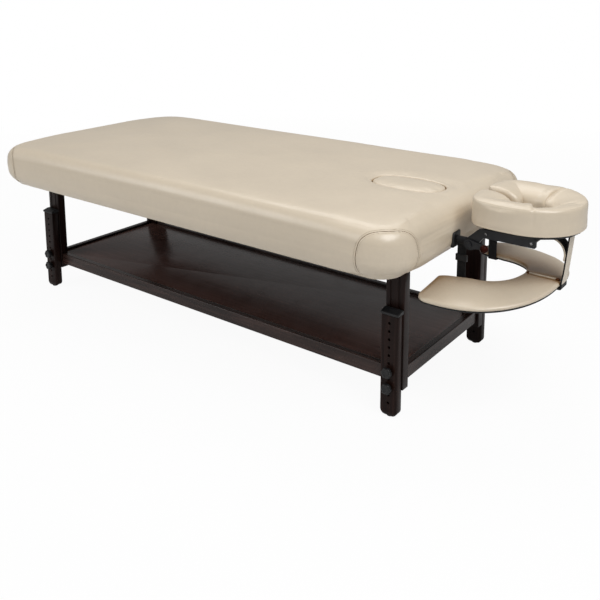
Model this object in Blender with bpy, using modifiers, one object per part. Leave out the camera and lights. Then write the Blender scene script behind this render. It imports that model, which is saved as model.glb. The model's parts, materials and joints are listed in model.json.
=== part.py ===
"""Massage table: padded top on four adjustable legs, with a shelf, a face cradle and an armrest.

Metres, +Z up. X runs from the foot end to the head end, and the front side faces -Y.
The origin is on the floor under the middle of the whole outline.
"""
from math import cos, degrees, pi, radians, sin, sqrt

import bmesh
import bpy
from mathutils import Matrix, Vector

# Clearances
SEAT_GAP = 0.0003         # between pieces that rest against each other
SLIDE_GAP = 0.0004        # round a rod, bolt or axle that slides or turns

# Padded top
TOP_LENGTH = 1.850
TOP_WIDTH = 0.920
TOP_THICKNESS = 0.165
TOP_HEIGHT = 0.633        # floor to the crown of the top
TOP_CORNER = 0.115        # corner radius in plan
TOP_EDGE = 0.038          # roll of the upper edge
TOP_UNDER_EDGE = 0.028    # roll of the lower edge
TOP_CROWN = 0.008         # rise of the middle over the edges
TOP_SIDE_DRAW = 0.004     # how far the sides pull in between the corners
SIDE_FOAM = 0.045         # padding outside the frame

# Frame inside the top
DECK_THICKNESS = 0.012
FRAME_HEIGHT = 0.080
FRAME_RAIL = 0.028
FRAME_CORNER = 0.012      # inner corner radius of the frame
DUST_COVER = 0.002
DUST_COVER_RECESS = 0.002

# Breath hole and its plug
HOLE_LENGTH = 0.250
HOLE_WIDTH = 0.144
HOLE_FROM_HEAD = 0.225    # head end to the middle of the hole
PLUG_DEPTH = 0.060
PLUG_CROWN = 0.005
PLUG_ROLL = 0.010

# Legs
LEG_SETBACK = 0.155       # side of the top to the outer face of an extension
POST_WIDTH = 0.062
POST_DEPTH = 0.032
POST_FLOOR_GAP = 0.080
FLUTE_WIDTH = 0.006
FLUTE_DEPTH = 0.003
FLUTE_SPACING = 0.028
EXTENSION_WIDTH = 0.056
EXTENSION_DEPTH = 0.030
EXTENSION_TOP = 0.320
EXTENSION_ROUND = 0.016   # lower corners
BOLT_HOLES = 11
BOLT_PITCH = 0.025
FIRST_HOLE = 0.045        # floor to the lowest hole
BOLT_DIAMETER = 0.008
BOLT_GRIP = 0.022         # length of a bolt inside its post
KNOB_HOLES = {"lower": 2, "upper": 4}
KNOB_DIAMETER = 0.034
KNOB_DEPTH = 0.018
KNOB_LOBES = 6
KNOB_FLUTE = 0.0014
KNOB_COLLAR = 0.022
KNOB_COLLAR_DEPTH = 0.004
CAP_HEIGHT = 0.013
CAP_LIP = 0.003
PAD_HEIGHT = 0.005
PAD_DIAMETER = 0.022

# Shelf
SHELF_RAIL_BOTTOM = 0.098
SHELF_RAIL_HEIGHT = 0.044
SHELF_RAIL = 0.022
SHELF_RAIL_INSET = 0.003      # long rails, behind the outer faces of the posts
SHELF_END_INSET = 0.008       # end rails, behind the outer sides of the posts
SHELF_PANEL = 0.012
SHELF_PANEL_RECESS = 0.009

# Face cradle, measured out from the head end and up from the underside of the top
ROD_SPACING = 0.224
ROD_DIAMETER = 0.020
ROD_RISE = 0.052
ROD_INSERTION = 0.105
SOCKET_WALL = 0.0038
SOCKET_DEPTH = 0.115
SOCKET_FLANGE = 0.046
SOCKET_PROUD = 0.007
PIVOT_REACH = 0.056
HUB_LENGTH = 0.024
HUB_HEIGHT = 0.036
AXLE_DIAMETER = 0.010
AXLE_HEAD = 0.017
AXLE_HEAD_DEPTH = 0.004
ARM_THICKNESS = 0.008
ARM_HUB = 0.038
ARM_HEIGHT = 0.026
ARM_RISE = 0.039              # pivot to the middle of the arm's level bar
ARM_KNEE = 0.034              # pivot to the start of the level bar
ARM_REACH = 0.182             # pivot to the cross bar at the arm's tip
ARM_TIP_ROUND = 0.005
CROSS_BAR = 0.012
SCREW_DIAMETER = 0.005
SCREW_HEAD = 0.0095
SCREW_HEAD_DEPTH = 0.003
SCREW_GRIP = 0.014
ROOT_SCREW = 0.049            # pivot to the screw at the arm's root
CLEAT_WIDTH = 0.021
CLEAT_START = 0.036
CLEAT_END = 0.160
CLEAT_HEIGHT = 0.024
PLATFORM = 0.008
LEVER_THICKNESS = 0.005
LEVER_HUB = 0.028
LEVER_END = 0.012
LEVER_LENGTH = 0.058
BALL_DIAMETER = 0.024
BALL_NECK = 0.012

# Face cushion
FACE_REACH = 0.340            # head end to the front of the horseshoe
FACE_WIDTH = 0.305
FACE_BAND = 0.085             # width of the horseshoe's arms
FACE_SWEEP = 146              # degrees from its front to where its ends start to round
FACE_THICKNESS = 0.076
PLATFORM_INSET = 0.010        # platform's edge inside the cushion's

# Armrest, hung below the rods
ARMREST_DROP = 0.098          # rods to the top of the armrest
ARMREST_THICKNESS = 0.018
ARMREST_BACK = -0.035         # head end to the ends of the armrest
ARMREST_REACH = 0.288
ARMREST_HALF_WIDTH = 0.290
ARMREST_BEND = 0.030          # head end to where the outer edge starts to turn
ARMREST_SQUARENESS = 2.15
OPENING_REACH = 0.172
OPENING_HALF_WIDTH = 0.109
OPENING_BEND = 0.060
OPENING_FLARE = 0.022
ARMREST_TIP_ROUND = 0.034
ARMREST_SLOPE = 0.11          # fall of each half towards its outer edge
ARMREST_FLAT = 0.024          # level strip each side of the centre line
HINGE_DIAMETER = 0.006
HINGE_MARGIN = 0.012
HINGE_CLIP = 0.009
HINGE_CLIP_LENGTH = 0.007

# Webbing
WEBBING = 0.0022
SIDE_STRAP_WIDTH = 0.027
SIDE_STRAP_START = 0.0095     # head end to the near edge of the strap
SIDE_STRAP_TAIL = 0.003
SIDE_STRAP_TAB = 0.050
BUCKLE_DROP = 0.054           # rods to the middle of the buckle
BUCKLE_HEIGHT = 0.020
BUCKLE_WALL = 0.0045
BUCKLE_DEPTH = 0.009
FRONT_STRAP_WIDTH = 0.044
FRONT_STRAP_LEAN = 0.017      # how far its top stands in front of the armrest's edge
FRONT_STRAP_TAB = 0.026       # its sewn ends, under the platform and under the armrest
FRONT_STRAP_LIFT = 0.030      # armrest to where the strap starts to lean
STRAP_FOLD = 0.005            # rounding where a strap folds
BRANCH_LOW = 0.32             # where the inner strap is sewn on, as shares of the leaning run
BRANCH_TOP = 0.48

# Facets
CORNER_STEPS = 5
LONG_SIDE_STEPS = 8
SHORT_SIDE_STEPS = 5
ROUND_SIDES = 16
HOLE_SIDES = 10
OVAL_SIDES = 32
CUTTER_PAST = 0.004           # how far a cutter runs past the face that it cuts
WELD = 0.00001                # points closer than this become one

# Heights and places that follow from the sizes above
TOP_UNDERSIDE = TOP_HEIGHT - TOP_THICKNESS
DUST_BOTTOM = TOP_UNDERSIDE + DUST_COVER_RECESS
FRAME_BOTTOM = DUST_BOTTOM + DUST_COVER + SEAT_GAP
FRAME_TOP = FRAME_BOTTOM + FRAME_HEIGHT
DECK_BOTTOM = FRAME_TOP + SEAT_GAP
DECK_TOP = DECK_BOTTOM + DECK_THICKNESS
CEILING = DECK_TOP + SEAT_GAP
MIDDLE_X = -FACE_REACH / 2                    # middle of the top; the origin centres the whole outline
HEAD_X = MIDDLE_X + TOP_LENGTH / 2
HOLE_X = HEAD_X - HOLE_FROM_HEAD
LEG_X = TOP_LENGTH / 2 - SIDE_FOAM - FRAME_RAIL - 2 * SEAT_GAP - POST_WIDTH / 2
EXTENSION_Y = TOP_WIDTH / 2 - LEG_SETBACK - EXTENSION_DEPTH / 2
POST_Y = EXTENSION_Y - EXTENSION_DEPTH / 2 - SEAT_GAP - POST_DEPTH / 2
POST_TOP = DECK_BOTTOM - SEAT_GAP
BOLT_HOLE = BOLT_DIAMETER + 2 * SLIDE_GAP
SHELF_TOP = SHELF_RAIL_BOTTOM + SHELF_RAIL_HEIGHT
ROD_Y = ROD_SPACING / 2
ROD_Z = TOP_UNDERSIDE + ROD_RISE
PIVOT_X = HEAD_X + PIVOT_REACH
ARM_Y = ROD_Y + ROD_DIAMETER / 2 + SEAT_GAP + ARM_THICKNESS / 2
ARM_Z = ROD_Z + ARM_RISE
PLATFORM_BOTTOM = ARM_Z + ARM_HEIGHT / 2 + SEAT_GAP
FACE_BOTTOM = PLATFORM_BOTTOM + PLATFORM + SEAT_GAP
LEVER_Y = ARM_Y + ARM_THICKNESS / 2 + SEAT_GAP + LEVER_THICKNESS / 2
ARMREST_TOP = ROD_Z - ARMREST_DROP
ARMREST_BOTTOM = ARMREST_TOP - ARMREST_THICKNESS
HINGE_Z = ARMREST_TOP - HINGE_DIAMETER / 2

LEG_ENDS = {"head": 1, "foot": -1}
SIDES = {"front": -1, "back": 1}


# Scene helpers

def clear_scene():
    for item in list(bpy.data.objects):
        bpy.data.objects.remove(item, do_unlink=True)


def collection(name):
    group = bpy.data.collections.new(name)
    bpy.context.scene.collection.children.link(group)
    return group


def principled(name, colour, roughness, metallic=0.0):
    made = bpy.data.materials.new(name)
    made.use_nodes = True
    shader = made.node_tree.nodes["Principled BSDF"]
    shader.inputs["Base Color"].default_value = (*colour, 1.0)
    shader.inputs["Roughness"].default_value = roughness
    shader.inputs["Metallic"].default_value = metallic
    return made


clear_scene()
PARTS = collection("massage_table")
CUTTERS = collection("cutters")
LEATHER = principled("cream_leather", (0.60, 0.50, 0.37), 0.45)
WALNUT = principled("dark_walnut", (0.030, 0.016, 0.013), 0.25)
PLYWOOD = principled("plywood", (0.32, 0.22, 0.13), 0.6)
BLACK_CLOTH = principled("black_cloth", (0.012, 0.012, 0.013), 0.9)
BLACK_PLASTIC = principled("black_plastic", (0.010, 0.010, 0.011), 0.5)
BLACK_METAL = principled("black_metal", (0.012, 0.012, 0.013), 0.4)
STEEL = principled("steel", (0.60, 0.60, 0.60), 0.3, 1.0)
RED_WOOD = principled("red_wood", (0.12, 0.035, 0.02), 0.4)
RUBBER = principled("rubber", (0.015, 0.015, 0.015), 0.85)
WEB_BLACK = principled("black_webbing", (0.010, 0.010, 0.011), 0.8)


def empty(name, place):
    """An empty on the axis that its pieces move on."""
    made = bpy.data.objects.new(name, None)
    made.location = place
    PARTS.objects.link(made)
    return made


def add_piece(name, mesh, material, place=(0, 0, 0), parent=None):
    """A named sub-part at `place` in the world, carried by `parent`."""
    made = bpy.data.objects.new(name, mesh)
    mesh.materials.append(material)
    mesh.shade_smooth()
    mesh.set_sharp_from_angle(angle=radians(35))
    PARTS.objects.link(made)
    made.location = Vector(place)
    if parent:
        made.parent = parent
        made.location -= parent.location
    return made


def tool_piece(target, mesh, operation, place=(0, 0, 0)):
    """Cut `mesh` from `target`, or fuse it on, at `place` in the world."""
    tool = bpy.data.objects.new(f"{target.name}_{operation.lower()}", mesh)
    tool.location = place
    tool.hide_render = True
    tool.display_type = "WIRE"
    CUTTERS.objects.link(tool)
    boolean = target.modifiers.new(operation.title(), "BOOLEAN")
    boolean.operation = operation
    boolean.solver = "EXACT"
    boolean.object = tool


def cut(target, mesh, place=(0, 0, 0)):
    tool_piece(target, mesh, "DIFFERENCE", place)


def fuse(target, mesh, place=(0, 0, 0)):
    tool_piece(target, mesh, "UNION", place)


def round_edges(target, width, segments=2):
    bevel = target.modifiers.new("Bevel", "BEVEL")
    bevel.width = width
    bevel.segments = segments
    bevel.limit_method = "ANGLE"


# Mesh helpers

def mesh_from(build):
    mesh = bpy.data.meshes.new("mesh")
    form = bmesh.new()
    build(form)
    bmesh.ops.recalc_face_normals(form, faces=form.faces)
    form.to_mesh(mesh)
    form.free()
    return mesh


def box(size, centre=(0, 0, 0)):
    def build(form):
        made = bmesh.ops.create_cube(form, size=1.0)
        bmesh.ops.scale(form, vec=size, verts=made["verts"])
        bmesh.ops.translate(form, vec=centre, verts=made["verts"])
    return mesh_from(build)


def box_between(low, high):
    size = Vector(high) - Vector(low)
    return box(size, (Vector(high) + Vector(low)) / 2)


AXIS_TURNS = {
    "X": Matrix.Rotation(radians(90), 4, "Y"),
    "Y": Matrix.Rotation(radians(90), 4, "X"),
    "Z": Matrix.Identity(4),
}


def cylinders(diameter, length, axis, centres=((0, 0, 0),), sides=ROUND_SIDES):
    def build(form):
        for centre in centres:
            place = Matrix.Translation(centre) @ AXIS_TURNS[axis]
            bmesh.ops.create_cone(form, cap_ends=True, segments=sides, radius1=diameter / 2,
                                  radius2=diameter / 2, depth=length, matrix=place)
    return mesh_from(build)


def loft(rings, closed=False):
    """Skin over rings of equally many points: capped at both ends, or joined end to end."""
    def build(form):
        rows = [[form.verts.new(point) for point in ring] for ring in rings]
        pairs = list(zip(rows, rows[1:]))
        if closed:
            pairs.append((rows[-1], rows[0]))
        else:
            form.faces.new(rows[0])
            form.faces.new(rows[-1])
        for lower, upper in pairs:
            for index in range(len(lower)):
                after = (index + 1) % len(lower)
                form.faces.new((lower[index], lower[after], upper[after], upper[index]))
    return mesh_from(build)


def drawn_mesh(drawing):
    """The mesh of a drawn outline or profile as its modifiers make it; the drawing is removed."""
    CUTTERS.objects.link(drawing)
    graph = bpy.context.evaluated_depsgraph_get()
    mesh = bpy.data.meshes.new_from_object(drawing.evaluated_get(graph))
    bpy.data.objects.remove(drawing, do_unlink=True)
    form = bmesh.new()
    form.from_mesh(mesh)
    bmesh.ops.remove_doubles(form, verts=form.verts, dist=WELD)
    bmesh.ops.recalc_face_normals(form, faces=form.faces)
    form.to_mesh(mesh)
    form.free()
    mesh.materials.clear()
    return mesh


def turned(profile, sides=ROUND_SIDES):
    """(height, radius) points turned about Z, closed on the axis at both ends."""
    first, last = profile[0][0], profile[-1][0]
    points = [(radius, 0, height) for height, radius in ((first, 0), *profile, (last, 0))]
    mesh = bpy.data.meshes.new("profile")
    mesh.from_pydata(points, [(index, index + 1) for index in range(len(points) - 1)], [])
    drawing = bpy.data.objects.new("profile", mesh)
    screw_turn = drawing.modifiers.new("Screw", "SCREW")
    screw_turn.steps = screw_turn.render_steps = sides
    screw_turn.use_merge_vertices = True
    screw_turn.merge_threshold = WELD
    return drawn_mesh(drawing)


def fluted(steps, lobes):
    """Rings along +Z from (height, radius, flute depth) steps, with `lobes` flutes round them."""
    sides = 4 * lobes
    rings = []
    for height, radius, flute in steps:
        ring = []
        for index in range(sides):
            angle = 2 * pi * index / sides
            reach = radius - flute * (1 - cos(lobes * angle))
            ring.append(Vector((reach * cos(angle), reach * sin(angle), height)))
        rings.append(ring)
    return loft(rings)


def flat_plate(outline, thickness, upright=False):
    """A plate from a flat outline: in XY about z = 0, or upright in XZ about y = 0."""
    curve = bpy.data.curves.new("outline", "CURVE")
    curve.dimensions = "2D"
    curve.fill_mode = "BOTH"
    curve.extrude = thickness / 2
    spline = curve.splines.new("POLY")
    spline.points.add(len(outline) - 1)
    for point, (across, along) in zip(spline.points, outline):
        point.co = (across, along, 0, 1)
    spline.use_cyclic_u = True
    mesh = drawn_mesh(bpy.data.objects.new("outline", curve))
    if upright:
        mesh.transform(AXIS_TURNS["Y"])
    return mesh


def hull_plate(discs, thickness):
    """An upright plate in XZ with rounded corners, as the hull of discs given by place and diameter."""
    def build(form):
        for (x, z), diameter in discs:
            for index in range(ROUND_SIDES):
                angle = 2 * pi * index / ROUND_SIDES
                for side in (-1, 1):
                    form.verts.new((x + diameter / 2 * cos(angle), side * thickness / 2,
                                    z + diameter / 2 * sin(angle)))
        hull = bmesh.ops.convex_hull(form, input=form.verts)
        spare = [item for item in hull["geom_interior"] if isinstance(item, bmesh.types.BMVert)]
        bmesh.ops.delete(form, geom=spare, context="VERTS")
    return mesh_from(build)


def rounded_rectangle(length, width, radius, z, draw=0.0, middle_x=0.0):
    """A ring whose straight sides pull in by `draw` at their middles."""
    corner_x = length / 2 - radius
    corner_y = width / 2 - radius
    corners = ((1, 1, 0), (-1, 1, 90), (-1, -1, 180), (1, -1, 270))
    ring = []
    for number, (side_x, side_y, start) in enumerate(corners):
        for step in range(CORNER_STEPS + 1):
            angle = radians(start + 90 * step / CORNER_STEPS)
            ring.append(Vector((side_x * corner_x + radius * cos(angle),
                                side_y * corner_y + radius * sin(angle), z)))
        along_x = number % 2 == 0
        run = 2 * (corner_x if along_x else corner_y)
        steps = LONG_SIDE_STEPS if along_x else SHORT_SIDE_STEPS
        leaving = radians(start + 90)
        inward = Vector((-cos(leaving), -sin(leaving), 0))
        onward = Vector((-sin(leaving), cos(leaving), 0))
        corner_end = ring[-1].copy()
        for step in range(1, steps):
            share = step / steps
            ring.append(corner_end + onward * run * share + inward * draw * sin(pi * share))
    for point in ring:
        point.x += middle_x
    return ring


def oval(length, width, z):
    ring = []
    for index in range(OVAL_SIDES):
        angle = 2 * pi * index / OVAL_SIDES
        ring.append(Vector((HOLE_X + length / 2 * cos(angle), width / 2 * sin(angle), z)))
    return ring


# Padded top and the frame inside it

def top_ring(inset, z, draw=0.0):
    radius = max(TOP_CORNER - inset, FRAME_CORNER)
    return rounded_rectangle(TOP_LENGTH - 2 * inset, TOP_WIDTH - 2 * inset, radius, z, draw, MIDDLE_X)


def frame_ring(inset, z):
    return top_ring(SIDE_FOAM + inset, z)


def breath_hole_cutter(low, high):
    return loft([oval(HOLE_LENGTH, HOLE_WIDTH, low), oval(HOLE_LENGTH, HOLE_WIDTH, high)])


def rod_points(x, z=ROD_Z):
    return [Vector((x, side * ROD_Y, z)) for side in SIDES.values()]


def make_top_cushion():
    edge_height = TOP_HEIGHT - TOP_CROWN
    half_width = TOP_WIDTH / 2
    rings = []
    for share in (0.88, 0.6, 0.35, 0.15, 0.0):
        inset = TOP_EDGE + share * (half_width - TOP_EDGE)
        crown = TOP_CROWN * (1 - (1 - share) ** 2)
        rings.append(top_ring(inset, edge_height + crown))
    roll_steps = 5
    for step in range(1, roll_steps + 1):
        angle = radians(90 * step / roll_steps)
        inset = TOP_EDGE * (1 - sin(angle))
        drop = TOP_EDGE * (1 - cos(angle))
        rings.append(top_ring(inset, edge_height - drop, TOP_SIDE_DRAW * sin(angle)))
    under_steps = 3
    for step in range(under_steps + 1):
        angle = radians(90 * step / under_steps)
        inset = TOP_UNDER_EDGE * (1 - cos(angle))
        rise = TOP_UNDER_EDGE * (1 - sin(angle))
        rings.append(top_ring(inset, TOP_UNDERSIDE + rise, TOP_SIDE_DRAW * cos(angle)))
    rings.append(frame_ring(0, TOP_UNDERSIDE))
    rings.append(frame_ring(0, CEILING))
    cushion = add_piece("top_cushion", loft(rings), LEATHER)
    cut(cushion, breath_hole_cutter(CEILING - CUTTER_PAST, TOP_HEIGHT + CUTTER_PAST))
    for centre in rod_points(HEAD_X):
        pocket = SOCKET_FLANGE + 2 * SEAT_GAP
        depth = 2 * (TOP_SIDE_DRAW + SEAT_GAP)
        cut(cushion, box((depth, pocket, pocket), centre))
        bore = ROD_DIAMETER + 2 * (SLIDE_GAP + SOCKET_WALL + SEAT_GAP)
        cut(cushion, cylinders(bore, 2 * SOCKET_DEPTH, "X", [centre]))


def make_breath_plug():
    axis = empty("breath_plug_lift", (HOLE_X, 0, TOP_HEIGHT))
    length = HOLE_LENGTH - 2 * SEAT_GAP
    width = HOLE_WIDTH - 2 * SEAT_GAP
    shoulder = TOP_HEIGHT - PLUG_CROWN
    rings = [oval(length, width, TOP_HEIGHT - PLUG_DEPTH), oval(length, width, shoulder - PLUG_ROLL)]
    for inset_share, drop_share in ((0.12, 0.45), (0.4, 0.13), (1.0, 0.0)):
        inset = 2 * PLUG_ROLL * inset_share
        rings.append(oval(length - inset, width - inset, shoulder - PLUG_ROLL * drop_share))
    for share in (0.6, 0.25):
        crown = PLUG_CROWN * (1 - share ** 2)
        rings.append(oval(length * share, width * share, shoulder + crown))
    plug = loft([[point - axis.location for point in ring] for ring in rings])
    add_piece("breath_plug", plug, LEATHER, axis.location, axis)


def make_top_frame():
    deck = loft([frame_ring(SEAT_GAP, DECK_BOTTOM), frame_ring(SEAT_GAP, DECK_TOP)])
    deck = add_piece("deck_panel", deck, PLYWOOD)
    cut(deck, breath_hole_cutter(DECK_BOTTOM - CUTTER_PAST, DECK_TOP + CUTTER_PAST))

    inner = SEAT_GAP + FRAME_RAIL
    rails = loft([frame_ring(SEAT_GAP, FRAME_BOTTOM), frame_ring(SEAT_GAP, FRAME_TOP),
                  frame_ring(inner, FRAME_TOP), frame_ring(inner, FRAME_BOTTOM)], closed=True)
    rails = add_piece("top_frame", rails, PLYWOOD)
    bore = ROD_DIAMETER + 2 * (SLIDE_GAP + SOCKET_WALL + SEAT_GAP)
    cut(rails, cylinders(bore, 2 * SOCKET_DEPTH, "X", rod_points(HEAD_X)))

    dust_top = DUST_BOTTOM + DUST_COVER
    cover = loft([frame_ring(SEAT_GAP, DUST_BOTTOM), frame_ring(SEAT_GAP, dust_top)])
    cover = add_piece("dust_cover", cover, BLACK_CLOTH)
    cut(cover, breath_hole_cutter(DUST_BOTTOM - CUTTER_PAST, dust_top + CUTTER_PAST))
    for end in LEG_ENDS.values():
        for side in SIDES.values():
            size = (POST_WIDTH + 2 * SEAT_GAP, POST_DEPTH + 2 * SEAT_GAP, DUST_COVER + 2 * CUTTER_PAST)
            cut(cover, box(size), (MIDDLE_X + end * LEG_X, side * POST_Y, DUST_BOTTOM + DUST_COVER / 2))


# Legs

def make_leg(end_name, side_name):
    name = f"{end_name}_{side_name}"
    side = SIDES[side_name]
    leg_x = MIDDLE_X + LEG_ENDS[end_name] * LEG_X
    outer_face = side * (POST_Y + POST_DEPTH / 2)
    make_post(f"leg_post_{name}", leg_x, side, outer_face)
    make_extension(name, leg_x, side)
    for level, hole in KNOB_HOLES.items():
        make_knob(f"leg_knob_{name}_{level}", leg_x, side, FIRST_HOLE + hole * BOLT_PITCH)


def make_post(name, leg_x, side, outer_face):
    low = (leg_x - POST_WIDTH / 2, side * POST_Y - POST_DEPTH / 2, POST_FLOOR_GAP)
    high = (leg_x + POST_WIDTH / 2, side * POST_Y + POST_DEPTH / 2, POST_TOP)
    place = Vector((leg_x, side * POST_Y, POST_FLOOR_GAP))
    post = add_piece(name, box_between(Vector(low) - place, Vector(high) - place), WALNUT, place)
    flute = box((FLUTE_WIDTH, 2 * FLUTE_DEPTH, 2 * (POST_TOP - POST_FLOOR_GAP)))
    for shift in (-1, 1):
        cut(post, flute, (leg_x + shift * FLUTE_SPACING / 2, outer_face, (POST_TOP + POST_FLOOR_GAP) / 2))
    bore_depth = BOLT_GRIP + SEAT_GAP
    bores = [(leg_x, outer_face, FIRST_HOLE + hole * BOLT_PITCH) for hole in KNOB_HOLES.values()]
    cut(post, cylinders(BOLT_HOLE, 2 * bore_depth, "Y", bores, HOLE_SIDES))


def make_extension(name, leg_x, side):
    slide = empty(f"leg_slide_{name}", (leg_x, side * EXTENSION_Y, 0))
    half = EXTENSION_WIDTH / 2
    bottom = PAD_HEIGHT + SEAT_GAP
    outline = [(-half, EXTENSION_TOP)]
    for centre_x, start in ((-half + EXTENSION_ROUND, 180), (half - EXTENSION_ROUND, 270)):
        for step in range(CORNER_STEPS + 1):
            angle = radians(start + 90 * step / CORNER_STEPS)
            outline.append((centre_x + EXTENSION_ROUND * cos(angle),
                            bottom + EXTENSION_ROUND * (1 + sin(angle))))
    outline.append((half, EXTENSION_TOP))
    board = flat_plate(outline, EXTENSION_DEPTH, upright=True)
    extension = add_piece(f"leg_extension_{name}", board, WALNUT, slide.location, slide)
    holes = [(0, 0, FIRST_HOLE + number * BOLT_PITCH) for number in range(BOLT_HOLES)]
    cut(extension, cylinders(BOLT_HOLE, 2 * EXTENSION_DEPTH, "Y", holes, HOLE_SIDES), slide.location)

    cap_size = (EXTENSION_WIDTH + 2 * CAP_LIP, EXTENSION_DEPTH + CAP_LIP, CAP_HEIGHT)
    cap_middle = EXTENSION_TOP + SEAT_GAP + CAP_HEIGHT / 2
    cap_place = slide.location + Vector((0, side * CAP_LIP / 2, cap_middle))
    cap = add_piece(f"extension_cap_{name}", box(cap_size), BLACK_PLASTIC, cap_place, slide)
    round_edges(cap, CAP_HEIGHT / 3)

    pad_place = slide.location + Vector((0, 0, PAD_HEIGHT / 2))
    add_piece(f"foot_pad_{name}", cylinders(PAD_DIAMETER, PAD_HEIGHT, "Z"), RUBBER, pad_place, slide)


def make_knob(name, leg_x, side, z):
    seat = EXTENSION_Y + EXTENSION_DEPTH / 2 + SEAT_GAP
    bolt_length = EXTENSION_DEPTH + 2 * SEAT_GAP + BOLT_GRIP
    radius = KNOB_DIAMETER / 2
    steps = (
        (-bolt_length, BOLT_DIAMETER / 2, 0),
        (0, BOLT_DIAMETER / 2, 0),
        (0, KNOB_COLLAR / 2, 0),
        (KNOB_COLLAR_DEPTH, KNOB_COLLAR / 2, 0),
        (KNOB_COLLAR_DEPTH + KNOB_FLUTE, radius, KNOB_FLUTE),
        (KNOB_DEPTH - KNOB_FLUTE, radius, KNOB_FLUTE),
        (KNOB_DEPTH, radius - 2 * KNOB_FLUTE, KNOB_FLUTE),
    )
    mesh = fluted(steps, KNOB_LOBES)
    mesh.transform(Matrix.Rotation(radians(-90 * side), 4, "X"))
    add_piece(name, mesh, BLACK_PLASTIC, (leg_x, side * seat, z))


# Shelf

def make_shelf():
    middle_z = SHELF_RAIL_BOTTOM + SHELF_RAIL_HEIGHT / 2
    rail_y = POST_Y + POST_DEPTH / 2 - SHELF_RAIL_INSET - SHELF_RAIL / 2
    length = 2 * (LEG_X - POST_WIDTH / 2 - SEAT_GAP)
    for side_name, side in SIDES.items():
        rail = add_piece(f"shelf_rail_{side_name}", box((length, SHELF_RAIL, SHELF_RAIL_HEIGHT)), WALNUT,
                         (MIDDLE_X, side * rail_y, middle_z))
        round_edges(rail, SHELF_RAIL / 10, 1)
    rail_x = LEG_X + POST_WIDTH / 2 - SHELF_END_INSET - SHELF_RAIL / 2
    width = 2 * (POST_Y - POST_DEPTH / 2 - SEAT_GAP)
    for end_name, end in LEG_ENDS.items():
        rail = add_piece(f"shelf_rail_{end_name}", box((SHELF_RAIL, width, SHELF_RAIL_HEIGHT)), WALNUT,
                         (MIDDLE_X + end * rail_x, 0, middle_z))
        round_edges(rail, SHELF_RAIL / 10, 1)

    reach_x = rail_x - SHELF_RAIL / 2 - SEAT_GAP
    reach_y = rail_y - SHELF_RAIL / 2 - SEAT_GAP
    notch_x = LEG_X - POST_WIDTH / 2 - SEAT_GAP
    notch_y = POST_Y - POST_DEPTH / 2 - SEAT_GAP
    quarter = ((reach_x, notch_y), (notch_x, notch_y), (notch_x, reach_y))
    outline = []
    for side_x, side_y in ((1, 1), (-1, 1), (-1, -1), (1, -1)):
        points = [(side_x * x, side_y * y) for x, y in quarter]
        outline.extend(points if side_x == side_y else reversed(points))
    panel_z = SHELF_TOP - SHELF_PANEL_RECESS - SHELF_PANEL / 2
    add_piece("shelf_panel", flat_plate(outline, SHELF_PANEL), WALNUT, (MIDDLE_X, 0, panel_z))


# Face cradle

def make_sockets():
    for side_name, side in SIDES.items():
        place = Vector((HEAD_X, side * ROD_Y, ROD_Z))
        flange = box_between((-TOP_SIDE_DRAW, -SOCKET_FLANGE / 2, -SOCKET_FLANGE / 2),
                             (SOCKET_PROUD, SOCKET_FLANGE / 2, SOCKET_FLANGE / 2))
        socket = add_piece(f"cradle_socket_{side_name}", flange, BLACK_PLASTIC, place)
        round_edges(socket, SOCKET_PROUD / 3, 1)
        bore = ROD_DIAMETER + 2 * SLIDE_GAP
        tube_length = SOCKET_DEPTH - TOP_SIDE_DRAW / 2
        tube_centre = (-(SOCKET_DEPTH + TOP_SIDE_DRAW / 2) / 2, 0, 0)
        fuse(socket, cylinders(bore + 2 * SOCKET_WALL, tube_length, "X", [tube_centre]), place)
        cut(socket, cylinders(bore, 3 * SOCKET_DEPTH, "X"), place)


def make_cradle_base(slide):
    for side_name, side in SIDES.items():
        place = Vector((PIVOT_X, side * ROD_Y, ROD_Z))
        block = box((HUB_LENGTH, ROD_DIAMETER, HUB_HEIGHT))
        hub = add_piece(f"cradle_base_{side_name}", block, BLACK_METAL, place, slide)
        round_edges(hub, HUB_LENGTH / 8, 1)
        rod_length = ROD_INSERTION + PIVOT_REACH
        fuse(hub, cylinders(ROD_DIAMETER - SEAT_GAP, rod_length, "X", [(-rod_length / 2, 0, 0)]), place)
        cut(hub, cylinders(AXLE_DIAMETER + 2 * SLIDE_GAP, 2 * ROD_DIAMETER, "Y"), place)

    front_end = LEVER_Y + LEVER_THICKNESS / 2 + SEAT_GAP
    back_end = ARM_Y + ARM_THICKNESS / 2 + SEAT_GAP
    steps = (
        (-back_end - AXLE_HEAD_DEPTH, AXLE_HEAD / 2),
        (-back_end, AXLE_HEAD / 2),
        (-back_end, AXLE_DIAMETER / 2),
        (front_end, AXLE_DIAMETER / 2),
        (front_end, AXLE_HEAD / 2),
        (front_end + AXLE_HEAD_DEPTH, AXLE_HEAD / 2),
    )
    axle = turned(steps)
    axle.transform(AXIS_TURNS["Y"])
    add_piece("cradle_axle", axle, STEEL, (PIVOT_X, 0, ROD_Z), slide)


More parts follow.
